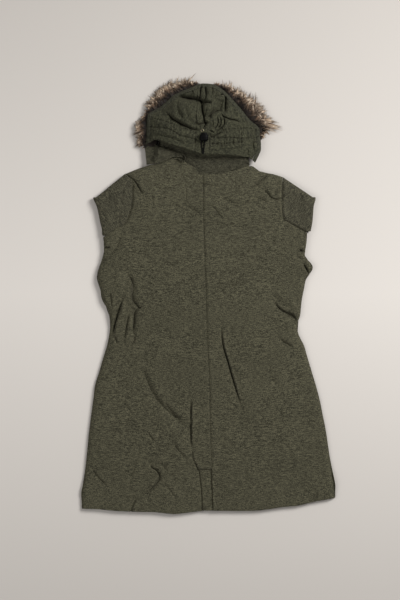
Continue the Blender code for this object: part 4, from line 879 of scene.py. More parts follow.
def melange_cloth(name, turn, tones, seed=0.0, band_turn=None, band_level=None):
    """Melange polyester canvas, plain woven from uneven yarn with a brushed face.

    Dark and light fibres mixed before spinning give the eye short flecks that follow the weft, a dull
    surface with no gloss, and a faint pale nap where it turns away.
    """
    material, tree, shader = new_material(name)
    coordinates = coordinates_of(tree)
    fleck = slubs(tree, coordinates, turn, SLUB_LONG, SLUB_HIGH, 0.13 + seed)
    yarn = slubs(tree, coordinates, turn, YARN_LONG, YARN_HIGH, 0.37 + seed)
    if band_turn is not None:
        place = node(tree, "ShaderNodeSeparateXYZ", {"Vector": coordinates}).outputs["Y"]
        band = node(tree, "ShaderNodeMapRange", {
            "Value": place, "From Min": (band_level + 5.0) * MM,
            "From Max": (band_level - 5.0) * MM}).outputs["Result"]
        across = slubs(tree, coordinates, band_turn, SLUB_LONG, SLUB_HIGH, 0.71 + seed)
        fleck = node(tree, "ShaderNodeMix", {"Factor": band, "A": fleck, "B": across}).outputs[0]
    shade = maths(tree, "MULTIPLY_ADD", fleck, 0.38, maths(tree, "MULTIPLY", yarn, 0.62))
    broad = node(tree, "ShaderNodeTexNoise", {
        "Vector": coordinates, "Scale": 1.0 / (BROAD_TONE * MM), "Detail": 3.0, "Roughness": 0.55})
    broad = node(tree, "ShaderNodeMapRange", {
        "Value": broad.outputs["Fac"], "From Min": 0.3, "From Max": 0.7, "To Min": -0.008, "To Max": 0.008})
    shade = maths(tree, "ADD", shade, broad.outputs["Result"])
    dark, mid, light = tones
    colour = ramp(tree, shade, [(0.42, dark), (0.5, mid), (0.58, light)])
    fill(tree, shader, {"Base Color": colour, "Normal": raised(tree, shade, 0.35, 0.3), "Roughness": 0.92,
                        "Specular IOR Level": 0.25, "Sheen Weight": 0.12, "Sheen Roughness": 0.5,
                        "Sheen Tint": linear("9A937C")})
    return material


def plain_material(name, colour, roughness, metallic=0.0, vary="", grain=0.4, depth=0.05, ior=1.5, gloss=0.5):
    """Finish with a small change of tone and a fine grain, each at a size in millimetres."""
    material, tree, shader = new_material(name)
    coordinates = coordinates_of(tree)
    noise = node(tree, "ShaderNodeTexNoise", {
        "Vector": coordinates, "Scale": 1.0 / (grain * MM), "Detail": 3.0, "Roughness": 0.6}).outputs["Fac"]
    fill(tree, shader, {"Base Color": ramp(tree, noise, [(0.3, colour), (0.7, vary)]),
                        "Normal": raised(tree, noise, 0.5, depth),
                        "Roughness": roughness, "Metallic": metallic, "Specular IOR Level": gloss})
    if not metallic:
        shader.inputs["IOR"].default_value = ior
    return material


def braided_cord():
    """Elastic cord with a braided polyester cover: fine slanted ribs and a low sheen."""
    material, tree, shader = new_material("braided_elastic")
    coordinates = coordinates_of(tree)
    wave = node(tree, "ShaderNodeTexWave", {
        "Vector": coordinates, "Scale": 1.0 / (1.3 * MM) / 6.283, "Distortion": 1.2, "Detail": 1.0},
        bands_direction="DIAGONAL").outputs["Fac"]
    fill(tree, shader, {
        "Base Color": ramp(tree, wave, [(0.2, "030303"), (0.8, "0A0A09")]),
        "Normal": raised(tree, wave, 0.6, 0.2), "Roughness": 0.75, "Specular IOR Level": 0.1})
    return material


def acrylic_fur(name, stops):
    """Knitted-back acrylic pile, dyed dark at the root and tipped after.

    Each lock runs from a near black root through tan with paler streaks to a dark tip, with a soft gloss.
    The map's height mixes the lock's own length with its depth in the fur, and its width picks its tone.
    """
    material, tree, shader = new_material(name)
    place = node(tree, "ShaderNodeUVMap", uv_map="OFBake").outputs["UV"]
    parts = node(tree, "ShaderNodeSeparateXYZ", {"Vector": place})
    tone = node(tree, "ShaderNodeTexWhiteNoise", {"W": parts.outputs["X"]}, noise_dimensions="1D")
    tone = tone.outputs["Value"]
    shift = maths(tree, "MULTIPLY_ADD", tone, 0.36, -0.20)
    colour = ramp(tree, maths(tree, "ADD", parts.outputs["Y"], shift), stops)
    own = node(tree, "ShaderNodeMapRange", {"Value": tone, "To Min": 0.35, "To Max": 1.45}).outputs["Result"]
    shaded = node(tree, "ShaderNodeVectorMath", {0: colour, "Scale": own}, operation="SCALE")
    fill(tree, shader, {
        "Base Color": shaded.outputs["Vector"], "Roughness": 0.55, "Specular IOR Level": 0.35})
    return material


def finishes():
    """Every material of the coat, made once and shared."""
    body = ("1A1A10", "39372B", "5B5947")
    sleeve = ("17170F", "343228", "565444")
    cloths = (
        ("body_left", "body", 0.0, body),
        ("body_right", "body_right", 0.0, body, 2.3),
        ("sleeve_left", "left_sleeve", 52.0, sleeve, 1.1),
        ("sleeve_right", "right_sleeve", -52.0, sleeve, 3.7),
        # Painted shade: the collar's canvas is darker than the body's, for the shade under the hood's edge.
        ("collar", "collar", 12.0, ("17170F", "302F25", "4E4C3D"), 5.1),
        # Partly painted shade: the hood and brim are darker than the body's canvas; their slightly greener
        # tone is their own.
        ("hood", "hood", 90.0, ("12120C", "2A2B1F", "494938"), 4.2, 8.0, 372.0),
        ("brim", "brim", 90.0, ("151610", "2B2C23", "474739"), 6.4),
        ("vent", "underlap", 0.0, ("1B1B11", "39372B", "5A5846"), 8.3),
        ("front", "front", 0.0, ("1E1D16", "3A382D", "585546"), 7.9),
    )
    return {key: melange_cloth("melange_canvas_" + name, *look) for key, name, *look in cloths} | {
        # Spun polyester sewing thread, matched a little darker than the cloth.
        "thread": plain_material("spun_polyester_thread", "33322A", 0.7, vary="4C4A3D", grain=0.5),
        "thread_pale": plain_material("spun_polyester_thread_pale", "25241D", 0.7, vary="38362B", grain=0.5),
        # Woven polyester zip tape and moulded acetal teeth, black with a satin gloss.
        "tape": plain_material("woven_zip_tape", "15151A", 0.85, vary="24242A", grain=0.9, depth=0.1),
        "teeth": plain_material("moulded_acetal", "101012", 0.35, vary="1A1A1C", grain=2.0, ior=1.48),
        # Brass, plated and dulled: warm edges and darker, rougher hollows.
        "brass": plain_material("antique_brass", "A39C84", 0.42, 1.0, vary="5E5743", grain=1.1, depth=0.03),
        # Injection moulded nylon, black: a fine mould grain and a soft highlight.
        "plastic": plain_material("moulded_black_nylon", "040404", 0.5, vary="080809", grain=0.6, depth=0.02,
                                  ior=1.53, gloss=0.06),
        # Painted shade: near black on the eyelet's bore and its floor, where only shade falls.
        "hole": plain_material("shaded_bore", "040404", 0.9, vary="090908", grain=1.0),
        "cord": braided_cord(),
        "pile": acrylic_fur("acrylic_fur_pile", [
            (0.0, "0C0806"), (0.36, "20170F"), (0.6, "665140"), (0.78, "B39E88"), (0.91, "CDBCA8"),
            (1.0, "4A3A2F")]),
        "guard": acrylic_fur("acrylic_fur_guard", [
            (0.0, "0A0706"), (0.36, "1F1610"), (0.6, "7C6754"), (0.76, "D6C7B4"), (0.9, "A8937E"),
            (1.0, "1D1510")]),
        "ground": plain_material("acrylic_fur_ground", "0E0A07", 0.95, vary="261C15", grain=2.2, depth=0.8),
    }


# ---- pieces ----

MADE = {}


def keep(made, nodes):
    """Rides the piece on the coat, stands it for its solids and remembers it by name."""
    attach(made, "root")
    if nodes:
        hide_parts(*nodes)
    MADE[made.name.removesuffix("_cloth")] = made
    return made


def armhole_of(left_side):
    """Armhole seam of one side, underarm to shoulder."""
    return ARMHOLE_LEFT if left_side else ARMHOLE_RIGHT


def panel_plan(left_side, top_edge, inset, across, rows, centre_gap, armhole_gap):
    """Plan of half the body: first index from the centre out to the side, second from hem to top."""
    sign = -1.0 if left_side else 1.0
    marks = armhole_of(left_side)
    low, high = marks[0][1], marks[-1][1]
    sides = refine([(row[1] if left_side else row[2], row[0]) for row in SIDES], 6)
    edge = np.where(rows < low, column(sides, rows) - sign * inset,
                    column(refine(marks, 6), rows) - sign * armhole_gap)
    seam = column(refine(CENTRE_SEAM, 6), rows)
    centre = seam + sign * centre_gap
    step = column(VENT_LEFT, rows) - seam if left_side else 0.0 * rows
    broad = centre + step * smooth((VENT_HEAD + 45.0 - rows) / 90.0)
    at_edge = centre + step * (rows < VENT_HEAD)
    x = broad + (edge - broad) * across[:, None]
    x = x + (at_edge - broad) * np.maximum(1.0 - across / 0.08, 0.0)[:, None]
    to_top = smooth((rows - TOP_BLEND_Y) / (high - TOP_BLEND_Y)) * (column(top_edge, x, 0, 1) - high)
    to_hem = smooth((HEM_BLEND_Y - rows) / HEM_BLEND_REACH) * (column(HEM_LINE, x, 0, 1) - HEM_ROW)
    return np.dstack([x, rows + to_top + to_hem])


HEM_LINE = refine(HEM, 6)
NECK_LINE = refine(NECK, 5)
FRONT_NECK_LINE = refine(FRONT_NECK, 5)


def make_backs(finish, spacing):
    """Both halves of the back, from the centre seam and the vent out over the rolled sides."""
    for name, left_side in (("back_left", True), ("back_right", False)):
        flat = COARSE * int(round(280.0 / spacing / COARSE))
        turn = np.sin(np.linspace(0.0, math.pi / 2, 17))[1:]
        across = np.concatenate([np.linspace(0.0, 0.93, flat + 1), 0.93 + 0.07 * turn])
        count = COARSE * int(round(830.0 / spacing / COARSE)) + 1
        rows = np.linspace(HEM_ROW, armhole_of(left_side)[-1][1], count)
        plan = gathered(panel_plan(left_side, NECK_LINE, 0.0, across, rows, SEAM / 2, SEAM / 2), CREASES)
        x, y = plan[..., 0], plan[..., 1]
        z, roll = back_height(x, y)
        side = (-1.0, 0.0, 0.0) if left_side else (1.0, 0.0, 0.0)
        rolled = slice(0, int(np.searchsorted(rows, UNDERARM) // COARSE))
        relief = back_relief(x, y, roll) * roll + armhole_groove(x, y, roll)
        vent = smooth((VENT_HEAD + 4.0 - y) / 14.0)
        if left_side:
            head = distance_to([(-22.0, -443.5), (9.4, -440.5)], x, y)
            sunk = vent * bell(distance_to(VENT_LEFT, x, y), 12.0)
            relief = relief - 3.0 * np.maximum(sunk, 0.45 * bell(head, 7.0))
        else:
            relief = relief + 1.6 * vent * bell(distance_to(CENTRE_SEAM[:2], x, y), 9.0)
        relief[:, 0] -= 0.6
        made = cloth_sheet(name, np.dstack([x, y, z]), relief, CLOTH_THICKNESS,
                           finish["body_left" if left_side else "body_right"],
                           EVERY_RIM + [((-1, rolled), side)], CREASES)
        keep(made, [name])


def make_fronts(finish):
    """Both fronts, face down on the floor and over the folded sleeves."""
    for name, left_side in (("front_left", True), ("front_right", False)):
        rows = np.linspace(HEM_ROW, armhole_of(left_side)[-1][1], 105)
        across = np.linspace(0.0, 1.0, 41)
        plan = panel_plan(left_side, FRONT_NECK_LINE, FRONT_INSET, across, rows, ZIP_HALF + SEAM, 4.0)
        x, y = plan[..., 0], plan[..., 1]
        low = front_height(x, y)
        wave = 0.35 * uneven(x, y, 70.0, 21) * smooth(side_distance(x, y) / 20.0)
        fine = np.dstack([x, y, low + wave])
        inner = np.dstack([x, y, low + WALL])[::COARSE, ::COARSE]
        made = shell(name, fine, inner, finish["front"], up=False)
        keep(made, [name])


def make_vent(finish):
    """Underlap behind the slit of the vent, sunk where it passes under the back."""
    rows = [-541.0, -520.0, -500.0, -480.0, -462.0, -446.0, -432.0, -418.0]
    grid = np.zeros((7, len(rows), 2))
    for j, y in enumerate(rows):
        low, high = column(VENT_LEFT, y) - VENT_LAP[0], column(CENTRE_SEAM, y) + VENT_LAP[1]
        grid[:, j] = np.column_stack([np.linspace(low, high, 7), np.full(7, y)])
    plan = refine(refine(grid, 12), 8, axis=1)
    x, y = plan[..., 0], plan[..., 1]
    base = np.dstack([x, y, back_height(x, y)[0] - 2.75])
    slit = (column(VENT_LEFT, y) + column(CENTRE_SEAM, y)) / 2.0
    bulge = np.exp(-((x - slit) / 11.5) ** 4) * smooth((VENT_HEAD - 0.5 - y) / 5.0)
    seen = smooth((x - column(VENT_LEFT, y) - 0.8) / 2.2) * smooth((VENT_HEAD + 1.5 - y) / 2.0)
    relief = 0.2 * soft_noise(x, y, 30.0, 31) + 1.3 * bulge - 2.9 * (1.0 - seen)
    made = cloth_sheet("vent_underlap", base, relief, 1.2, finish["vent"])
    keep(made, ["vent_underlap"])


# Outline of a zip tooth from above: towards the other row, and along the zip.
TOOTH = ((-1.0, -0.45), (-0.7, -0.62), (1.2, -0.4), (1.5, 0.0), (1.2, 0.4), (-0.7, 0.62), (-1.0, 0.45))
TOOTH_STEP = 1.5
ZIP_LOW, ZIP_HIGH = -540.0, 240.0
ZIP_NARROW_FROM = 120.0


def make_zip(finish):
    """Closed zip: woven tape with two rows of teeth that mesh along its middle, facing the floor."""
    rows = np.linspace(ZIP_LOW, ZIP_HIGH, 197)
    half = np.where(rows < ZIP_NARROW_FROM, ZIP_HALF, ZIP_HALF_AT_TOP)
    x = column(CENTRE_SEAM, rows) + np.linspace(-1.0, 1.0, 5)[:, None] * half
    y = np.broadcast_to(rows, x.shape)
    low = front_height(x, y)
    fine = np.dstack([x, y, low + 0.9])
    inner = np.dstack([x, y, low + WALL])[::COARSE, ::COARSE]
    tape = shell("zip", fine, inner, finish["tape"], up=False)
    keep(tape, ["front_zip"])
    points, faces = [], []
    for k, run in enumerate(np.arange(ZIP_LOW + 4.0, ZIP_HIGH - 4.0, TOOTH_STEP)):
        side = -1.0 if k % 2 else 1.0
        cx = float(column(CENTRE_SEAM, run)) + side * 0.9
        cz = float(front_height(np.array([cx]), np.array([run]))[0]) + 0.55
        index = len(points) + np.arange(3 * len(TOOTH)).reshape(3, -1)
        for dz, grow in ((-0.5, 0.86), (0.0, 1.0), (0.5, 1.0)):
            points += [(cx - side * a * grow, run + b * grow * 1.1, cz + dz) for a, b in TOOTH]
        tooth = ring_cells(index) + [index[0, ::-1].tolist(), index[-1].tolist()]
        faces += tooth if side < 0 else [face[::-1] for face in tooth]
    keep(mesh_object("zip_teeth", points, faces, finish["teeth"], sharp=35.0), [])


def sleeve_rings(left_side, spacing):
    """Sections of the flattened sleeve from the armhole over the fold to the cuff, as closed rings."""
    sign = -1.0 if left_side else 1.0
    fold = refine(FOLD_LEFT if left_side else FOLD_RIGHT, 5)
    seam = refine(armhole_of(left_side), 6)[::-1]
    rows = np.linspace(0.0, lengths(seam)[-1], int(round(165.0 / spacing)) + 1)
    start = sampled(seam, lengths(seam), rows) + np.array([sign * SEAM / 2, 0.0])
    start[:, 1] = start_top(start, left_side)
    share = np.linspace(0.0, 1.0, len(start))
    turn = path_point(fold, share) - np.array([sign * SLEEVE_TURN, 0.0])
    near_foot = smooth((share - 0.9) / 0.1)[:, None]
    start = start + near_foot * np.array([sign * 0.9, 1.2])
    turn = turn + near_foot * np.array([0.0, 3.4])
    outer, inner = [], []
    for k in np.linspace(0.0, 1.0, int(round(72.0 / spacing))):
        plan = start + (turn - start) * k
        x, y = plan.T
        z, roll = back_height(x, y)
        z = z + back_relief(x, y, roll) * roll + armhole_groove(x, y, roll)
        ply = WALL + (SLEEVE_PLY - WALL) * float(smooth(k * 1.2))
        outer.append(np.column_stack([plan, z]))
        inner.append(np.column_stack([plan, z - ply]))
    middle = outer[-1][:, 2] / 2.0
    crumple = 0.6 * np.sin(rows / 13.0 + 1.5 * np.sin(rows / 31.0))
    for angle in np.radians(np.linspace(15.0, 180.0, 12)):
        out, up = math.sin(angle), math.cos(angle)
        place = turn + np.column_stack([sign * (SLEEVE_TURN + crumple) * out, np.zeros(len(turn))])
        outer.append(np.column_stack([place, middle + middle * up]))
        place = turn + np.array([sign * (SLEEVE_TURN - SLEEVE_PLY) * out, 0.0])
        inner.append(np.column_stack([place, middle + (middle - SLEEVE_PLY) * up]))
    run = np.array([-sign * SLEEVE_RUN[0], SLEEVE_RUN[1]])
    side = np.array([sign * SLEEVE_RUN[1], SLEEVE_RUN[0]])
    root = turn.mean(axis=0)
    for step in np.linspace(0.0, 1.0, 76)[1:]:
        half = SLEEVE_ROOT_HALF + (SLEEVE_CUFF_HALF - SLEEVE_ROOT_HALF) * step
        centre = root + np.array([0.0, -12.0]) * smooth(step * 5.0) + run * SLEEVE_HIDDEN * step
        target = centre + np.outer(1.0 - 2.0 * share, side * half)
        blend = smooth(step / 0.22)
        plan = (turn + run * SLEEVE_HIDDEN * step) * (1.0 - blend) + target * blend
        lift = dimple = np.zeros(len(plan))
        if not left_side:
            lift = SLEEVE_CLIMB * smooth((240.0 - plan[:, 0]) / 36.0)
            dimple = 0.5 * uneven(plan[:, 0], plan[:, 1], 60.0, 41) * smooth(step * 4.0)
        outer.append(np.column_stack([plan, lift + dimple]))
        inner.append(np.column_stack([plan, lift + SLEEVE_PLY]))
    return np.array(outer), np.array(inner)


def start_top(start, left_side):
    """Armhole ends of the sleeve, bent up to the shoulder as the back is."""
    high = armhole_of(left_side)[-1][1]
    blend = smooth((start[:, 1] - TOP_BLEND_Y) / (high - TOP_BLEND_Y))
    return start[:, 1] + blend * (column(NECK_LINE, start[:, 0], 0, 1) - high)


def sleeve_section(top, low, ways, rim):
    """Closed section of a sleeve's wall: outer side, one edge, inner side, other edge."""
    first = [top[-1] * (1 - s) + low[-1] * s + ways[0] * out for s, out in rim]
    last = [top[0] * (1 - s) + low[0] * s + ways[1] * out for s, out in rim[::-1]]
    return list(top) + first + list(low[::-1]) + last


# Edges of the sleeve's two plies: share of the wall, and how far the edge stands out there.
SLEEVE_RIM = ((0.2, 0.6), (0.38, 0.5), (0.5, -0.7), (0.62, 0.5), (0.8, 0.6))
INNER_RIM = ((0.17, 0.0), (0.33, 0.0), (0.5, 0.0), (0.67, 0.0), (0.83, 0.0))


def make_sleeves(finish, spacing):
    """Each sleeve as a flattened tube: cap on top, fold at the side, and the rest folded away below."""
    for name, left_side in (("sleeve_left", True), ("sleeve_right", False)):
        outer, inner = sleeve_rings(left_side, spacing)
        rings, inside = [], []
        ways_out = unit(outer[:, -1] - outer[:, -2]), unit(outer[:, 0] - outer[:, 1])
        for a, b, *ways in zip(outer, inner, *ways_out):
            rings.append(sleeve_section(a, b, ways, SLEEVE_RIM))
            draw = np.zeros((len(a), 3))
            draw[-4:] = -ways[0] * np.linspace(0.2, 1.6, 4)[:, None]
            draw[:4] = -ways[1] * np.linspace(1.6, 0.2, 4)[:, None]
            across = (b - a) * 0.3
            inside.append(sleeve_section(a + across + draw, b - across + draw, ways, INNER_RIM))
        made = tube(name, np.array(rings + inside[::-1]), finish[name])
        keep(made, [name])


def make_collar(finish):
    """Stand collar as a flattened tube round the neck, its back above and its fronts below."""
    count = 168
    c, s = around(count)
    round_c, rise = squared(c, 0.75), squared(s, 0.5)
    x = COLLAR_CENTRE + COLLAR_HALF_WIDTH * round_c
    back = s >= 0.0
    foot = column(NECK_LINE, x, 0, 1)
    front_foot = np.minimum(foot, column(FRONT_NECK_LINE, x, 0, 1) + 9.0)
    foot = np.where(back, foot, front_foot * np.abs(s) + foot * (1.0 - np.abs(s)))
    top = np.where(back, COLLAR_TOP_Y, COLLAR_TOP_Y - 60.0 * np.abs(s) ** 0.5)
    tucked = np.where(back, smooth((x + 104.0) / 14.0) * smooth((66.0 - x) / 14.0), 0.0)
    under = np.minimum(back_height(x, foot - 6.0)[0], back_height(x, foot - 1.0)[0]) - WALL - SEAM * 2
    outer, inner = [], []
    for i, (ahead, q, top_z) in enumerate(COLLAR_STEPS):
        y = foot + ahead * tucked + (3.0 + 0.4 * i) * (1.0 - tucked) + (top - foot) * q
        level_z = np.minimum(top_z, np.maximum(under, 16.0)) if i < 2 else np.full(count, top_z)
        low_z = 12.6 - 2.0 * q
        half = (level_z - low_z) / 2.0
        narrow = 1.0 - 0.09 * q
        ring_x = COLLAR_CENTRE + (x - COLLAR_CENTRE) * narrow
        outer.append(np.column_stack([ring_x, y, low_z + half + half * rise]))
        within = COLLAR_CENTRE + (COLLAR_HALF_WIDTH - CLOTH_THICKNESS) * narrow * round_c
        inner.append(np.column_stack([within, y, low_z + half + (half - CLOTH_THICKNESS) * rise]))
    outer, inner = refine(outer, 6), refine(inner, 6)
    height = np.linspace(0.0, 1.0, len(outer))[:, None]
    x, y = outer[..., 0], outer[..., 1]
    crease = crease_rise(COLLAR_CREASES, x, y) + 0.3 * soft_noise(x, y, 26.0, 51)
    crease = crease * np.where(s > 0.1, 1.0, 0.0) * smooth(height * 6.0)
    outer[..., 2] += crease
    inner[..., 2] += crease
    made = tube("collar", np.concatenate([outer, inner[::-1]]), finish["collar"])
    keep(made, ["collar"])


COLLAR_CREASES = table(Crease, [
    ([(-150, 351), (-137, 354), (-122, 355), (-108, 353), (-95, 349), (-81, 343), (-62, 336)],
     8.0, 13, 0, 0, 0),
    ([(104, 296), (97, 305), (86, 310), (70, 310), (58, 308)], 2.6, 5.0, 1.8, -1, 1),
    ([(40, 312), (34, 304), (29, 294)], 2.2, 2.6, 1.2, 1, 0),
    ([(-40, 322), (-28, 312), (-16, 300)], 2.4, 2.2, 1.2, 1, 0),
    ([(60, 300), (74, 304), (86, 306)], 2.4, 1.8, 1.0, 1, 0),
])


def make_collar_flap(finish):
    """Left end of the collar, turned over the neck seam and rounded where it folds under the hood."""
    shares = np.linspace(0.0, 1.0, 13)
    low, high = path_point(refine(FLAP_EDGE, 5), shares), path_point(refine(FLAP_FOLD, 5), shares)
    trees = [tree_of(MADE["collar"]), tree_of(MADE["back_left"])]
    rows = []
    for v in (0.0, 0.25, 0.5, 0.75, 1.0):
        plan = low + (high - low) * v
        rest = np.maximum(seat_under(trees, plan, (-4.0, 0.0, 4.0)), 13.0) + WALL + SEAM
        side = smooth((plan[:, 0] + 153.5) / 26.0)
        end = smooth((-66.0 - plan[:, 0]) / 20.0)
        lift = 4.5 * math.sin(math.pi * (0.15 + 0.7 * v)) * end * side
        rows.append(np.column_stack([plan, rest + lift - 3.0 * smooth((v - 0.6) / 0.4)]))
    base = refine(refine(np.array(rows).transpose(1, 0, 2), 8), 8, axis=1)
    x, y = base[..., 0], base[..., 1]
    away = beside(refine(FLAP_EDGE, 5), x, y)[0]
    relief = 0.35 * soft_noise(x, y, 24.0, 61) + crease_rise(FLAP_CREASES, x, y)
    lifted = smooth((x + 146.0) / 18.0) * smooth((-78.0 - x) / 10.0)
    relief += 3.2 * lifted * bell(away, 5.0) - 0.9 * bell(away - 6.0, 1.6)
    made = cloth_sheet("collar_flap", base, relief, CLOTH_THICKNESS, finish["collar"])
    line = spline(FLAP_CURL, 1.5)
    out = np.gradient(line, axis=0)
    out = unit(np.column_stack([out[:, 1], -out[:, 0]]))
    foot = np.array([rest_on(trees, *spot)[0] for spot in line]) + 1.2
    crest = foot + 6.5 * smooth(np.linspace(0.35, 1.0, len(line)) * 2.2)
    wall = []
    for shift, rise in ((0.9, 0.0), (1.0, 0.5), (0.9, 0.9), (0.0, 1.0),
                        (-0.9, 0.9), (-1.0, 0.5), (-0.9, 0.0)):
        wall.append(np.column_stack([line + out * shift, foot + (crest - foot) * rise]))
    join(made, capped("collar_curl", np.array(wall).transpose(1, 0, 2), finish["collar"]))
    keep(made, ["collar_flap"])


FLAP_CREASES = table(Crease, [
    ([(-150, 352), (-140, 354), (-128, 354), (-112, 350)], 4.5, 6.0, 0.0, 1, 0),
    ([(-146, 318), (-138, 320), (-130, 330)], 2.2, 1.8, 0.9, 1, 0),
    ([(-126, 332), (-112, 336), (-96, 333)], 3.0, 1.4, 0.9, 1, 0),
    ([(-100, 326), (-88, 331), (-76, 332)], 2.2, 1.6, 0.9, 1, 0),
])


def inset_from_face(share, inset):
    """Points inside the hood's face edge at shares of its length, and the directions inwards."""
    face = path_point(HOOD_EDGE, share)
    inward = unit(HOOD_MIDDLE - face)
    return face + inward * inset * 1.06, inward


def parted(points, first, last):
    """The same row of points with its ends drawn in by half a seam gap."""
    points = points.copy()
    if first:
        step = points[1] - points[0]
        points[0] += step / np.linalg.norm(step) * SEAM * 0.6
    if last:
        step = points[-2] - points[-1]
        points[-1] += step / np.linalg.norm(step) * SEAM * 0.6
    return points


def hood_relief(x, y, q):
    """Creases, seam grooves, casing stitch lines and unevenness of the hood."""
    rise = HOOD_CREASE_SHARE * crease_rise(HOOD_CREASES, x, y) * smooth(q * 6.0)
    for foot, face, high in HOOD_SEAMS:
        away, _, share = beside([(foot, 325.0), (face, high)], x, y)
        rise += 0.45 * ripple(share * 180.0, 3.2, 13.0) * bell(away, 4.5)
        rise -= 2.2 * bell(away, 2.4)
    for line in CASING:
        away, _, share = beside(spline(line, 3.0), x, y)
        rise -= 3.6 * bell(away, 2.1)
        rise += 1.3 * ripple(share * 110.0, 1.7, 9.0) * bell(away, 6.5)
    rise -= 1.6 * bell(distance_to(HOOD_EDGE, x, y) - BRIM_STITCH_IN, 2.0)
    rise += 0.7 * soft_noise(x, y, 34.0, 71) + 0.36 * soft_noise(x, y, 12.0, 72)
    return rise


def hood_surface(x, y):
    """Top of the hood, made level where the lock, the eyelet and the cord lie on it."""
    z, q = hood_height(x, y)
    relief = hood_relief(x, y, q)
    for line, reach, seat in (([(-9.8, 334.0), (-10.2, 381.0)], 12.0, 56.05),
                              ([(-14.2, 386.9), (-14.1, 387.1)], 6.0, 54.8)):
        away = distance_to(line, x, y)
        near = 1.0 - smooth((away - reach * 0.45) / (reach * 1.1))
        relief = relief + (seat - z - relief) * near
    return z, relief


def make_hood(finish):
    """Three panels of the hood on the collar, from a lip turned under at the foot up and over to the face."""
    left_foot, right_foot = (share_at_x(HOOD_FOOT_LINE, seam[0]) for seam in HOOD_SEAMS)
    left, right = (share_at_x(HOOD_EDGE, seam[1]) for seam in HOOD_SEAMS)
    panels = (("hood_left", 0.0, left_foot, 0.0, left, 160, False, True),
              ("hood_centre", left_foot, right_foot, left, right, 36, True, True),
              ("hood_right", right_foot, 1.0, right, 1.0, 152, True, False))
    trees = [tree_of(MADE["collar"])]
    shares = []
    for name, foot0, foot1, face0, face1, count, first, last in panels:
        foot = parted(path_point(HOOD_FOOT_LINE, np.linspace(foot0, foot1, count + 1)), first, last)
        share = np.linspace(face0, face1, count + 1)
        face = parted(inset_from_face(share, BRIM_WIDTH + SEAM * 2)[0], first, last)
        shares.append(share)
        z, relief = hood_surface(foot[:, 0], foot[:, 1])
        lip = np.minimum(z, HOOD_LIP_Z)
        seat = seat_under(trees, foot[::4], (0.0, 5.0, 10.0, 14.0))
        seat = np.interp(np.arange(count + 1), np.arange(0, count + 1, 4), seat)
        seat = np.maximum(seat + SEAM, lip - HOOD_LIP_DROP)
        rows, bumps = [], []
        for ahead, rise in ((14.0, 0.0), (6.0, 0.03), (1.4, 0.25), (0.0, 0.62)):
            rows.append(np.column_stack([foot + np.array([0.0, ahead]), seat + (lip - seat) * rise]))
            bumps.append(relief * rise * 0.8)
        for v in (0.035, 0.08):
            plan = foot + (face - foot) * v
            z, relief = hood_surface(plan[:, 0], plan[:, 1])
            rows.append(np.column_stack([plan, z]))
            bumps.append(relief)
        rows, bumps = refine(rows, 4), refine(bumps, 4)
        plan = foot + (face - foot) * np.linspace(0.08, 1.0, 137)[1:, None, None]
        plan = gathered(plan.transpose(1, 0, 2), HOOD_CREASES + CASING_LINES).transpose(1, 0, 2)
        z, relief = hood_surface(plan[..., 0], plan[..., 1])
        base = np.concatenate([rows, np.dstack([plan, z])]).transpose(1, 0, 2)
        relief = np.concatenate([bumps, relief]).T
        borders = [((slice(None), -1), UP)]
        coarse_normal = normals(base[::COARSE, ::COARSE])
        for edge in [0] * first + [-1] * last:
            upright = coarse_normal[edge].copy()
            upright[:, 0] = 0.0
            borders.append(((edge,), unit(upright)))
        made = cloth_sheet(name, base, relief, CLOTH_THICKNESS, finish["hood"], borders, HOOD_CREASES)
        keep(made, [name])
    make_brim(finish, np.concatenate([shares[0], shares[1][1:], shares[2][1:]]))


HOOD_FOOT_LINE = refine(HOOD_FOOT, 6)
CASING_LINES = [Crease(line, 1.8, 0.0, 0.0, 0, 0) for line in CASING]


def make_brim(finish, share):
    """Band round the face edge, rolling down to the fur."""
    rows = []
    for inset, drop in ((BRIM_WIDTH, 0.0), (7.5, 0.0), (5.5, 0.0), (2.5, 0.4), (0.6, 1.6), (0.0, 3.4)):
        plan, inward = inset_from_face(share, inset)
        rows.append(np.column_stack([plan, hood_height(plan[:, 0], plan[:, 1])[0] - drop]))
    base = refine(rows, 4).transpose(1, 0, 2)
    base = base[: (len(base) - 1) // COARSE * COARSE + 1]
    x, y = base[..., 0], base[..., 1]
    relief = hood_relief(x, y, hood_height(x, y)[1]) * smooth(np.linspace(1.0, 0.0, base.shape[1]) * 1.6)
    out = -inward[: len(base)][::COARSE]
    borders = [((0,), UP), ((-1,), UP), ((slice(None), 0), UP),
               ((slice(None), -1), np.column_stack([out, np.zeros(len(out))]))]
    made = cloth_sheet("hood_brim", base, relief, CLOTH_THICKNESS, finish["brim"], borders)
    keep(made, ["hood_brim"])


# ---- fur ----

def face_line(count):
    """Fur's own edge line: points, plan directions out of the hood, and reach at each."""
    marks = np.array(FUR)[:, :2]
    share = np.linspace(0.0, 1.0, count)
    edge = path_point(marks, share)
    run = np.gradient(edge, axis=0)
    out = unit(np.column_stack([-run[:, 1], run[:, 0]]))
    reach = np.interp(share, lengths(marks) / lengths(marks)[-1], np.array(FUR)[:, 2])
    return share, edge, out, reach


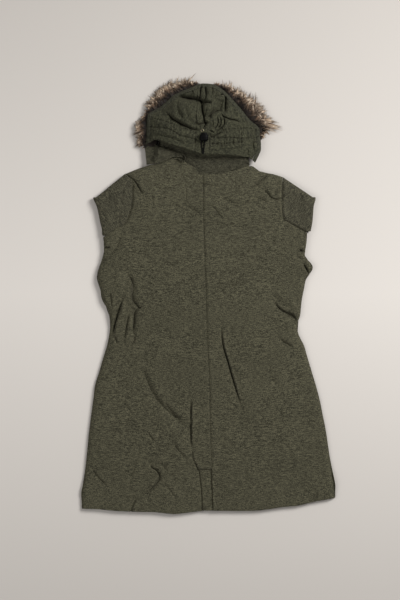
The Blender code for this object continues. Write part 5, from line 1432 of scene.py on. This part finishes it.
def make_fur_ground(finish):
    """Knitted back and dense under-pile, as one soft dark ring under the brim."""
    count = 240
    share, edge, out, reach = face_line(count)
    wave = 1.0 + 0.10 * np.sin(share * 210.0 + 1.3 * np.sin(share * 41.0)) + 0.06 * np.sin(share * 517.0)
    far = np.maximum(np.where(reach > 8.0, reach * 0.5 * wave, reach * 0.4), -6.0)
    k = np.arange(count)
    taper = np.minimum(1.0, np.minimum(k / 8.0 + 0.3, (count - 1 - k) / 8.0 + 0.3))
    rings = []
    for i in range(count):
        f = max(far[i], 1.5)
        section = [(-29.0, 2.5), (-30.0, 7.0), (-24.0, 11.5), (-12.0, 13.4), (-1.0, 13.6),
                   (f * 0.3, 14.5 + f * 0.12), (f * 0.65, 14.0 + f * 0.08), (f * 0.92, 10.5), (f, 6.5),
                   (f * 0.85, 2.4), (f * 0.45, 0.6), (-13.0, 0.4), (-23.0, 0.5)]
        section = refine(section + section[:1], 2)[:-1]
        ring = np.zeros((len(section), 3))
        ring[:, :2] = edge[i] + out[i] * section[:, :1]
        ring[:, 2] = np.maximum(section[:, 1], 0.2) * taper[i]
        rings.append(ring)
    keep(capped("fur_ground", np.array(rings), finish["ground"]), ["fur_trim"])


def locks(name, paths, deep, radius, classes, material):
    """Closed tapered locks, three sided, each along its own path; the map runs outwards through the fur."""
    count, size = paths.shape[:2]
    run = unit(np.gradient(paths, axis=1))
    side = unit(np.cross(run, np.array(UP)))
    lift = np.cross(side, run)
    rings = []
    for angle in (math.pi / 2, math.pi * 7 / 6, math.pi * 11 / 6):
        rings.append(paths + (side * math.cos(angle) + lift * math.sin(angle) * 0.7) * radius[..., None])
    body = np.stack(rings, axis=2)[:, :-1]
    each = (size - 1) * 3 + 1
    points = np.concatenate([body.reshape(count, -1, 3), paths[:, -1:]], axis=1)
    ring = np.arange((size - 1) * 3).reshape(size - 1, 3)
    quads = np.array(ring_cells(ring))
    tips = np.stack([ring[-1], np.roll(ring[-1], -1), np.full(3, each - 1)], -1)
    root = np.array([[2, 1, 0]])
    start = (np.arange(count) * each)[:, None, None]
    faces = []
    for kind in (quads, tips, root):
        faces += (kind[None, :, ::-1] + start).reshape(-1, kind.shape[1]).tolist()
    # Painted shade in part: the share set by depth in the fur darkens its inside; the share set by the lock's
    # own length is its dye.
    height = OWN_SHARE * np.linspace(0.0, 1.0, size) + (1.0 - OWN_SHARE) * deep
    uv = np.zeros((count, each, 2))
    uv[..., 0] = (classes[:, None] + 0.5) / FUR_TONES
    uv[..., 1] = 0.01 + 0.98 * np.concatenate([np.repeat(height[:, :-1], 3, axis=1), height[:, -1:]], axis=1)
    return mesh_object(name, points.reshape(-1, 3), faces, material, uv.reshape(-1, 2), sharp=180.0)


def tuft_paths(rng, tufts, each, layer):
    """Paths of fur: tufts leave the edge, sweep sideways and droop, and their hairs draw to a point."""
    _, edge, out, reach = face_line(FUR_TICKS)
    ticks, last = np.arange(FUR_TICKS), FUR_TICKS - 1.0
    total = np.concatenate([[0.0], np.cumsum(np.maximum(reach, 0.0) + 1.2)])
    at = np.clip(np.interp(rng.uniform(0.0, total[-1], tufts), total, np.arange(FUR_TICKS + 1)), 0.0, last)
    spot, way = sampled(edge, ticks, at), unit(sampled(out, ticks, at))
    tangent = np.stack([way[:, 1], -way[:, 0]], -1)
    limit = np.interp(at, ticks, reach)
    depth = rng.uniform(layer.near, layer.far, tufts)
    begin = np.where(limit > 6.0, depth * limit, depth * 2.0 - 1.0) - 2.0
    stretch = layer.shortest + (1.26 - layer.shortest) * rng.uniform(0.0, 1.0, tufts) ** 1.6
    length = np.maximum((limit - begin) * stretch, 4.0)
    share = at / last
    bias = -0.55 * smooth((0.22 - share) / 0.2) + 0.5 * smooth((share - 0.72) / 0.16)
    sweep = bias + 0.30 * np.sin(share * 61.0 + 1.1) + rng.normal(0.0, layer.spread, tufts)
    curl = rng.normal(0.0, layer.spread * 1.1, tufts)
    z0 = layer.start * (0.3 + 0.7 * rng.uniform(0.0, 1.0, tufts))
    rise = layer.rise * rng.uniform(0.2, 1.0, tufts) * smooth(np.maximum(limit, 0.0) / 20.0)

    def spread_out(values):
        return np.repeat(values, each, axis=0)

    count = tufts * each
    t = np.linspace(0.0, 1.0, layer.size)[None, :]
    own = spread_out(length) * rng.uniform(0.80, 1.04, count)
    root = rng.normal(0.0, layer.wide, (count, 2))
    tip = rng.normal(0.0, 0.45, (count, 2))
    wave = rng.normal(0.0, 0.035, count) * own
    ahead = (spread_out(begin)[:, None] + own[:, None] * (t - 0.07 * t ** 2)
             + root[:, :1] * (1.0 - t) + tip[:, :1] * t)
    aside = own[:, None] * (spread_out(sweep)[:, None] * t * 0.5 + spread_out(curl)[:, None] * t ** 2 * 0.8)
    aside = aside + root[:, 1:] * (1.0 - t) ** 0.8 + tip[:, 1:] * t + wave[:, None] * np.sin(t * 4.4)
    z0, rise = spread_out(z0), spread_out(rise)
    z = z0[:, None] + rise[:, None] * np.sin(t * math.pi * 0.62) - (0.5 * (z0 + rise))[:, None] * t ** 3
    paths = np.zeros((count, layer.size, 3))
    paths[..., :2] = (spread_out(spot)[:, None] + spread_out(way)[:, None] * ahead[..., None]
                      + spread_out(tangent)[:, None] * aside[..., None])
    paths[..., 2] = np.clip(z + rng.normal(0.0, 0.8, count)[:, None], 0.8, 34.0)
    return paths, np.clip(ahead / np.maximum(spread_out(limit)[:, None], 8.0), 0.0, 1.0)


Layer = namedtuple("Layer", "near far start rise spread shortest wide width size seed")
PILE = Layer(-0.30, 0.50, 13.0, 8.0, 0.40, 0.50, 2.6, 1.45, 6, 101)
GUARD = Layer(-0.15, 0.45, 14.5, 11.0, 0.46, 0.60, 2.4, 0.62, 7, 202)
FUR_TICKS = 400            # places along the face edge at which the fur is looked up
FUR_TONES = 64             # tones that a lock can have
OWN_SHARE = 0.45           # how far a lock's tone follows its own length, its dye; the rest follows its depth in the fur, painted shade that darkens the inside of the fur


def make_fur(finish, settings):
    """Ground, then dense locks of pile, then longer and thinner guard hairs over them."""
    make_fur_ground(finish)
    for name, layer, each, count, shown in (("fur_pile", PILE, 8, settings.pile_locks, "pile"),
                                            ("fur_guard", GUARD, 9, settings.guard_hairs, "guard")):
        rng = np.random.default_rng(layer.seed)
        tufts = count // each
        paths, deep = tuft_paths(rng, tufts, each, layer)
        t = np.linspace(0.0, 1.0, layer.size)[None, :]
        thick = layer.width * rng.uniform(0.6, 1.4, tufts * each)[:, None] * (1.0 - t ** 1.6) ** 0.8
        thick = np.maximum(thick * (0.55 + 0.45 * np.minimum(t * 4.0, 1.0)), 0.04)
        tones = np.repeat(rng.integers(0, FUR_TONES, tufts), each)
        own = rng.uniform(0.0, 1.0, tufts * each) < 0.2
        tones = np.where(own, rng.integers(0, FUR_TONES, tufts * each), tones)
        keep(locks(name, paths, deep, thick, tones, finish[shown]), [])


# ---- trims ----

def lathe(name, centre, profile, sides, materials, inner_rows=0):
    """Solid turned about +Z from a profile of radius and height that starts and ends on the axis."""
    points, faces, kinds = [(0.0, 0.0, profile[0][1])], [], []
    size = len(profile) - 2
    for radius, z in profile[1:-1]:
        for k in range(sides):
            angle = 2.0 * math.pi * k / sides
            points.append((radius * math.cos(angle), radius * math.sin(angle), z))
    points.append((0.0, 0.0, profile[-1][1]))
    for k in range(sides):
        after = (k + 1) % sides
        faces.append((0, 1 + k, 1 + after))
        kinds.append(1)
        for j in range(size - 1):
            a, b = 1 + j * sides, 1 + (j + 1) * sides
            faces.append((a + k, b + k, b + after, a + after))
            kinds.append(1 if j < inner_rows else 0)
        last = 1 + (size - 1) * sides
        faces.append((last + after, last + k, len(points) - 1))
        kinds.append(0)
    made = mesh_object(name, np.array(points) + np.asarray(centre), faces, materials, sharp=40.0)
    made.data.polygons.foreach_set("material_index", kinds)
    return made


def row_point(low, high, share):
    """A point inside a box of the row frame, in drawing millimetres."""
    low, high = np.array(low) / MM, np.array(high) / MM
    return low + (high - low) * np.asarray(share) + MIDDLE


def make_eyelet(finish):
    """Turned and rolled brass eyelet, its bore in shade."""
    low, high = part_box("eyelet")
    centre = row_point(low, high, (0.5, 0.5, 0.0))
    profile = [(0.0, 0.35), (1.0, 0.35), (1.75, 0.45), (2.0, 0.9), (2.3, 1.35), (2.75, 1.62), (3.2, 1.5),
               (3.7, 1.05), (4.15, 0.62), (4.4, 0.3), (4.35, 0.0), (2.0, 0.0), (0.0, 0.0)]
    made = lathe("eyelet_ring", centre, profile, 40, [finish["brass"], finish["hole"]], inner_rows=2)
    keep(made, ["eyelet"])


def around(count):
    """Cosines and sines of even steps round a circle."""
    angle = 2.0 * math.pi * np.arange(count) / count
    return np.cos(angle), np.sin(angle)


def squared(values, power):
    """Cosines or sines drawn out towards their ends, which squares a circle off."""
    return np.sign(values) * np.abs(values) ** power


def superellipse(count, half_width, half_height, power):
    """Points round a rounded rectangle."""
    c, s = around(count)
    return np.column_stack([half_width * squared(c, power), half_height * squared(s, power)])


def barrel(name, centre, sections, power, material, count=48):
    """Closed barrel along Y from sections of place, half width and half height."""
    rings = []
    for y, half_width, half_height in sections:
        x, z = superellipse(count, half_width, half_height, power).T
        rings.append(np.column_stack([centre[0] + x, np.full(count, centre[1] + y), centre[2] + z]))
    return capped(name, np.array(rings), material, along_first=True, sharp=32.0)


def make_lock(finish):
    """Moulded cord lock: a ribbed barrel, a sprung button at its upper end and two bores below."""
    low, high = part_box("cord_lock")
    centre = row_point(low, high, (0.5, 0.5, 0.5))
    half = (np.array(high) - np.array(low)) / MM / 2.0
    w, l, t = half
    body = [(-l, w * 0.70, t * 0.66), (-l + 0.5, w * 0.82, t * 0.80), (-l + 1.6, w * 0.93, t * 0.93),
            (-l + 3.4, w, t), (-l + 6.2, w, t),
            (-l + 6.6, w * 0.965, t * 0.94), (-l + 7.3, w * 0.965, t * 0.94),
            (-l + 7.7, w, t), (l - 7.4, w, t), (l - 6.6, w * 0.985, t * 0.98), (l - 5.2, w * 0.93, t * 0.92),
            (l - 4.7, w * 0.84, t * 0.82)]
    keep(barrel("cord_lock_body", centre, body, 0.72, finish["plastic"]), ["cord_lock"])
    button = [(l - 5.6, w * 0.70, t * 0.66), (l - 1.6, w * 0.70, t * 0.66), (l - 0.5, w * 0.64, t * 0.58),
              (l, w * 0.50, t * 0.42)]
    keep(barrel("cord_lock_button", centre, button, 0.78, finish["plastic"]), [])


CORD_ROUTE = [
    (-16.95, 369.48, 59.29), (-16.81, 366.72, 58.86), (-16.68, 363.95, 58.42), (-16.53, 361.19, 58.0),
    (-16.33, 358.41, 57.69), (-16.01, 355.63, 57.58), (-15.61, 352.86, 57.65), (-15.32, 350.08, 57.7),
    (-15.29, 347.27, 57.7), (-15.26, 344.47, 57.7), (-14.69, 341.74, 57.7), (-13.34, 339.38, 57.7),
    (-12.07, 341.79, 57.7), (-11.55, 344.53, 57.7), (-11.53, 347.33, 57.7), (-11.49, 350.13, 57.7),
    (-11.11, 352.91, 57.65), (-10.59, 355.66, 57.58), (-10.17, 358.42, 57.69), (-9.91, 361.2, 58.0),
    (-9.71, 363.96, 58.41), (-9.54, 366.72, 58.86), (-9.35, 369.48, 59.29),
]
CORD_DIAMETER = 2.8


def make_cord(finish):
    """Elastic loop that leaves the lock, hangs over the foot of the hood and goes back in."""
    curve = bpy.data.curves.new("drawcord", "CURVE")
    curve.dimensions = "3D"
    curve.bevel_depth = CORD_DIAMETER / 2.0 * MM
    curve.bevel_resolution = 5
    curve.use_fill_caps = True
    line = curve.splines.new("POLY")
    route = refine(CORD_ROUTE, 4)
    line.points.add(len(route) - 1)
    for point, place in zip(line.points, route):
        point.co = (*(place * MM), 1.0)
    curve.materials.append(finish["cord"])
    made = put("elastic_drawcord", curve)
    keep(made, ["drawcord"])


# ---- stitching ----

def stitches(name, lines, pitch, length, width, trees, material, sink=0.1):
    """Rows of stitches as small rounded bars that lie on the cloth along each line."""
    points, faces = [], []
    for line in lines:
        line = spline(line, 1.0)
        run = lengths(line)
        for at in np.arange(pitch * 0.6, run[-1] - length * 0.5, pitch):
            spots = []
            for share in (-0.5, 0.0, 0.5):
                x, y = (float(np.interp(at + share * length, run, line[:, k])) for k in range(2))
                z, normal = rest_on(trees, x, y)
                spots.append((np.array([x, y, z]), np.array(normal)))
            if min(spot[0][2] for spot in spots) < 1.0 or np.ptp([spot[0][2] for spot in spots]) > 2.5:
                continue
            add_stitch(points, faces, spots, width, sink)
    if points:
        keep(mesh_object(name, points, faces, material, sharp=180.0), [])


def add_stitch(points, faces, spots, width, sink):
    """One stitch over three spots on the cloth: three rings of five points, and a point at each end."""
    (a, na), (b, nb), (c, nc) = spots
    way = (c - a) / max(np.linalg.norm(c - a), 1e-6)
    base = len(points)
    rows = ((a + way * 0.15, na, 0.75), (b, nb, 1.0), (c - way * 0.15, nc, 0.75))
    points.append(a - way * 0.25 - na * sink)
    for spot, normal, grow in rows:
        side = np.cross(way, normal)
        side /= max(np.linalg.norm(side), 1e-6)
        for angle in np.arange(5) * 2.0 * math.pi / 5 + math.pi / 2:
            points.append(spot + (side * math.cos(angle) + normal * math.sin(angle)) * width * 0.5 * grow
                          + normal * (width * 0.25 - sink))
    points.append(c + way * 0.25 - nc * sink)
    for j in range(5):
        after = (j + 1) % 5
        faces.append((base, base + 1 + j, base + 1 + after))
        for ring in (0, 1):
            low = base + 1 + ring * 5
            faces.append((low + j, low + 5 + j, low + 5 + after, low + after))
        faces.append((base + 11 + after, base + 11 + j, base + 16))


def offset_line(line, aside):
    """The line moved sideways, to the left of travel where aside is above 0."""
    line = spline(line, 4.0)
    run = unit(np.gradient(line, axis=0))
    return line + np.column_stack([-run[:, 1], run[:, 0]]) * aside


def make_stitching(finish):
    """Rows of stitches along the hem, the casing, the hood's seams, the brim and the head of the vent."""
    back = [tree_of(MADE[name]) for name in ("back_left", "back_right", "sleeve_left", "sleeve_right")]
    hood = [tree_of(MADE[name]) for name in ("hood_left", "hood_centre", "hood_right", "hood_brim")]
    hem = offset_line(HEM, HEM_STITCH_UP)
    stitches("stitches_hem", [hem[3:-3]], 4.2, 2.4, 0.5, back, finish["thread"])
    stitches("stitches_casing", CASING, 3.4, 2.4, 0.7, hood, finish["thread_pale"])
    strip = [[(foot + aside, 332.0), (face + aside, 494.0)]
             for foot, face, _ in HOOD_SEAMS for aside in (-3.0, 3.0)]
    stitches("stitches_hood_seams", strip, 3.6, 2.4, 0.55, hood, finish["thread"])
    edge = [inset_from_face(np.linspace(0.04, 0.96, 120), BRIM_STITCH_IN)[0]]
    stitches("stitches_brim", edge, 3.6, 2.5, 0.6, hood, finish["thread_pale"])
    vent = [[(-25, -430), (-9, -447)], [(-9, -447), (8, -435)]]
    stitches("stitches_vent", vent, 2.6, 2.0, 0.7, back, finish["thread_pale"])


# ---- stage ----

def make_stage(settings):
    """Camera straight above, a plain pale floor, and soft light all round with more from the right."""
    scene = bpy.context.scene
    scene.view_settings.view_transform = "Standard"
    camera = bpy.data.cameras.new("camera")
    distance = settings.camera_height
    camera.sensor_width = 36.0
    camera.sensor_fit = "VERTICAL"
    camera.sensor_height = 36.0
    camera.lens = 36.0 * distance / FRAME_HEIGHT
    camera.clip_end = 30.0
    scene.camera = put("camera", camera)
    scene.camera.location = (CAMERA_AIM[0] * MM, CAMERA_AIM[1] * MM, distance + CAMERA_PLANE)

    world = bpy.data.worlds.new("studio")
    world.use_nodes = True
    fill(world.node_tree, world.node_tree.nodes["Background"], {
        "Color": linear("F4F2EF"), "Strength": settings.surround})
    scene.world = world
    for name, place, size, power in (
            ("light_right", (2.15, 1.45, 2.5), 1.6, settings.key_power),
            ("light_left", (-2.0, -0.4, 2.6), 2.2, settings.fill_power)):
        lamp = bpy.data.lights.new(name, "AREA")
        lamp.shape = "DISK"
        lamp.size = size
        lamp.energy = power
        lamp.color = linear("FFFDFA")[:3]
        light = put(name, lamp)
        light.location = place
        light.rotation_euler = (-Vector(place)).to_track_quat("-Z", "Y").to_euler()

    side, step = 3.0, 0.1
    ticks = np.arange(-side, side + step / 2, step)
    x, y = np.meshgrid(ticks, ticks, indexing="ij")
    points = np.dstack([x, y, np.zeros_like(x)]).reshape(-1, 3).tolist()
    mesh = bpy.data.meshes.new("floor")
    mesh.from_pydata(points, [], cells(np.arange(x.size).reshape(x.shape), along_first=True))
    mesh.materials.append(matt_board())
    put("floor", mesh)


def matt_board():
    """Matt painted board: pale warm grey, even, with no gloss."""
    material, tree, shader = new_material("matt_painted_board")
    place = coordinates_of(tree)
    part = node(tree, "ShaderNodeSeparateXYZ", {"Vector": place}).outputs["Y"]
    # Painted shade: the ramp darkens the floor towards both ends along Y, where the light falls off.
    down = node(tree, "ShaderNodeMapRange", {"Value": part, "From Min": -0.74, "From Max": 0.74})
    colour = ramp(tree, down.outputs["Result"], [(0.0, "BDB9B5"), (0.5, "CFCBC7"), (1.0, "B9B5B1")])
    fill(tree, shader, {"Base Color": colour, "Roughness": 0.95, "Specular IOR Level": 0.1})
    return material


# ---- settings, operators and panel ----

class ParkaCloth(bpy.types.PropertyGroup):
    """How fine the cloth's meshes are."""
    spacing: bpy.props.FloatProperty(
        name="Mesh spacing", description="Step of the back's fine mesh, millimetres",
        default=2.3, min=1.6, max=8.0)
    sleeve_spacing: bpy.props.FloatProperty(
        name="Sleeve spacing", description="Step of the sleeve's mesh, millimetres",
        default=2.2, min=1.6, max=8.0)


class ParkaFur(bpy.types.PropertyGroup):
    """How dense the fur is."""
    pile_locks: bpy.props.IntProperty(
        name="Pile locks", description="Number of short thick locks", default=5600, min=100, max=6400)
    guard_hairs: bpy.props.IntProperty(
        name="Guard hairs", description="Number of long thin hairs", default=4200, min=100, max=5200)


class ParkaStage(bpy.types.PropertyGroup):
    """Camera and light."""
    camera_height: bpy.props.FloatProperty(
        name="Camera height", description="Height of the camera over the coat", default=4.6, unit="LENGTH")
    surround: bpy.props.FloatProperty(
        name="Surround", description="Strength of the light from all round", default=0.34)
    key_power: bpy.props.FloatProperty(
        name="Right light", description="Power of the light on the right, watts", default=134.0)
    fill_power: bpy.props.FloatProperty(
        name="Left light", description="Power of the light on the left, watts", default=30.0)


FINISH = {}


def operator(label, doc, work):
    """An operator class that makes one group of pieces."""
    def execute(self, context):
        if not FINISH:
            FINISH.update(finishes())
        work(context.scene)
        return {"FINISHED"}

    name = label.lower().replace(" ", "_")
    return type("PARKA_OT_" + name, (bpy.types.Operator,), {
        "bl_idname": "parka." + name, "bl_label": label, "__doc__": doc, "execute": execute})


OPERATORS = [operator(*row) for row in (
    ("Stage", "Makes the camera, the floor and the light", lambda scene: make_stage(scene.parka_stage)),
    ("Drawcord", "Makes the elastic loop", lambda scene: make_cord(FINISH)),
    ("Cord lock", "Makes the cord lock and its button", lambda scene: make_lock(FINISH)),
    ("Eyelet", "Makes the brass eyelet", lambda scene: make_eyelet(FINISH)),
    ("Back", "Makes both halves of the back", lambda scene: make_backs(FINISH, scene.parka_cloth.spacing)),
    ("Fronts", "Makes both fronts", lambda scene: make_fronts(FINISH)),
    ("Vent", "Makes the underlap of the vent", lambda scene: make_vent(FINISH)),
    ("Front zip", "Makes the zip tape and teeth", lambda scene: make_zip(FINISH)),
    ("Sleeves", "Makes both sleeves", lambda scene: make_sleeves(FINISH, scene.parka_cloth.sleeve_spacing)),
    ("Collar", "Makes the stand collar", lambda scene: make_collar(FINISH)),
    ("Collar end", "Makes the turned left end of the collar", lambda scene: make_collar_flap(FINISH)),
    ("Hood", "Makes the hood's panels and brim", lambda scene: make_hood(FINISH)),
    ("Fur", "Makes the fur trim", lambda scene: make_fur(FINISH, scene.parka_fur)),
    ("Stitching", "Makes the rows of stitches", lambda scene: make_stitching(FINISH)),
)]


class PARKA_PT_pieces(bpy.types.Panel):
    """Lists the coat's pieces and their sizes."""
    bl_label = "Parka"
    bl_idname = "PARKA_PT_pieces"
    bl_space_type = "VIEW_3D"
    bl_region_type = "UI"
    bl_category = "Parka"

    def draw(self, context):
        for group in (context.scene.parka_cloth, context.scene.parka_fur, context.scene.parka_stage):
            for name in group.__annotations__:
                self.layout.prop(group, name)
        for one in OPERATORS:
            self.layout.operator(one.bl_idname)


GROUPS = {"parka_cloth": ParkaCloth, "parka_fur": ParkaFur, "parka_stage": ParkaStage}


def register():
    """Adds the settings, the operators and the panel."""
    for group in GROUPS.values():
        bpy.utils.register_class(group)
    for one in OPERATORS + [PARKA_PT_pieces]:
        bpy.utils.register_class(one)
    for name, group in GROUPS.items():
        setattr(bpy.types.Scene, name, bpy.props.PointerProperty(type=group))


def unregister():
    """Takes them away again."""
    for name in GROUPS:
        delattr(bpy.types.Scene, name)
    for one in [PARKA_PT_pieces] + OPERATORS[::-1] + list(GROUPS.values())[::-1]:
        bpy.utils.unregister_class(one)


def main():
    """Makes every piece in turn and writes the sizes."""
    register()
    for one in OPERATORS:
        area, name = one.bl_idname.split(".")
        getattr(getattr(bpy.ops, area), name)()


if __name__ == "__main__":
    main()
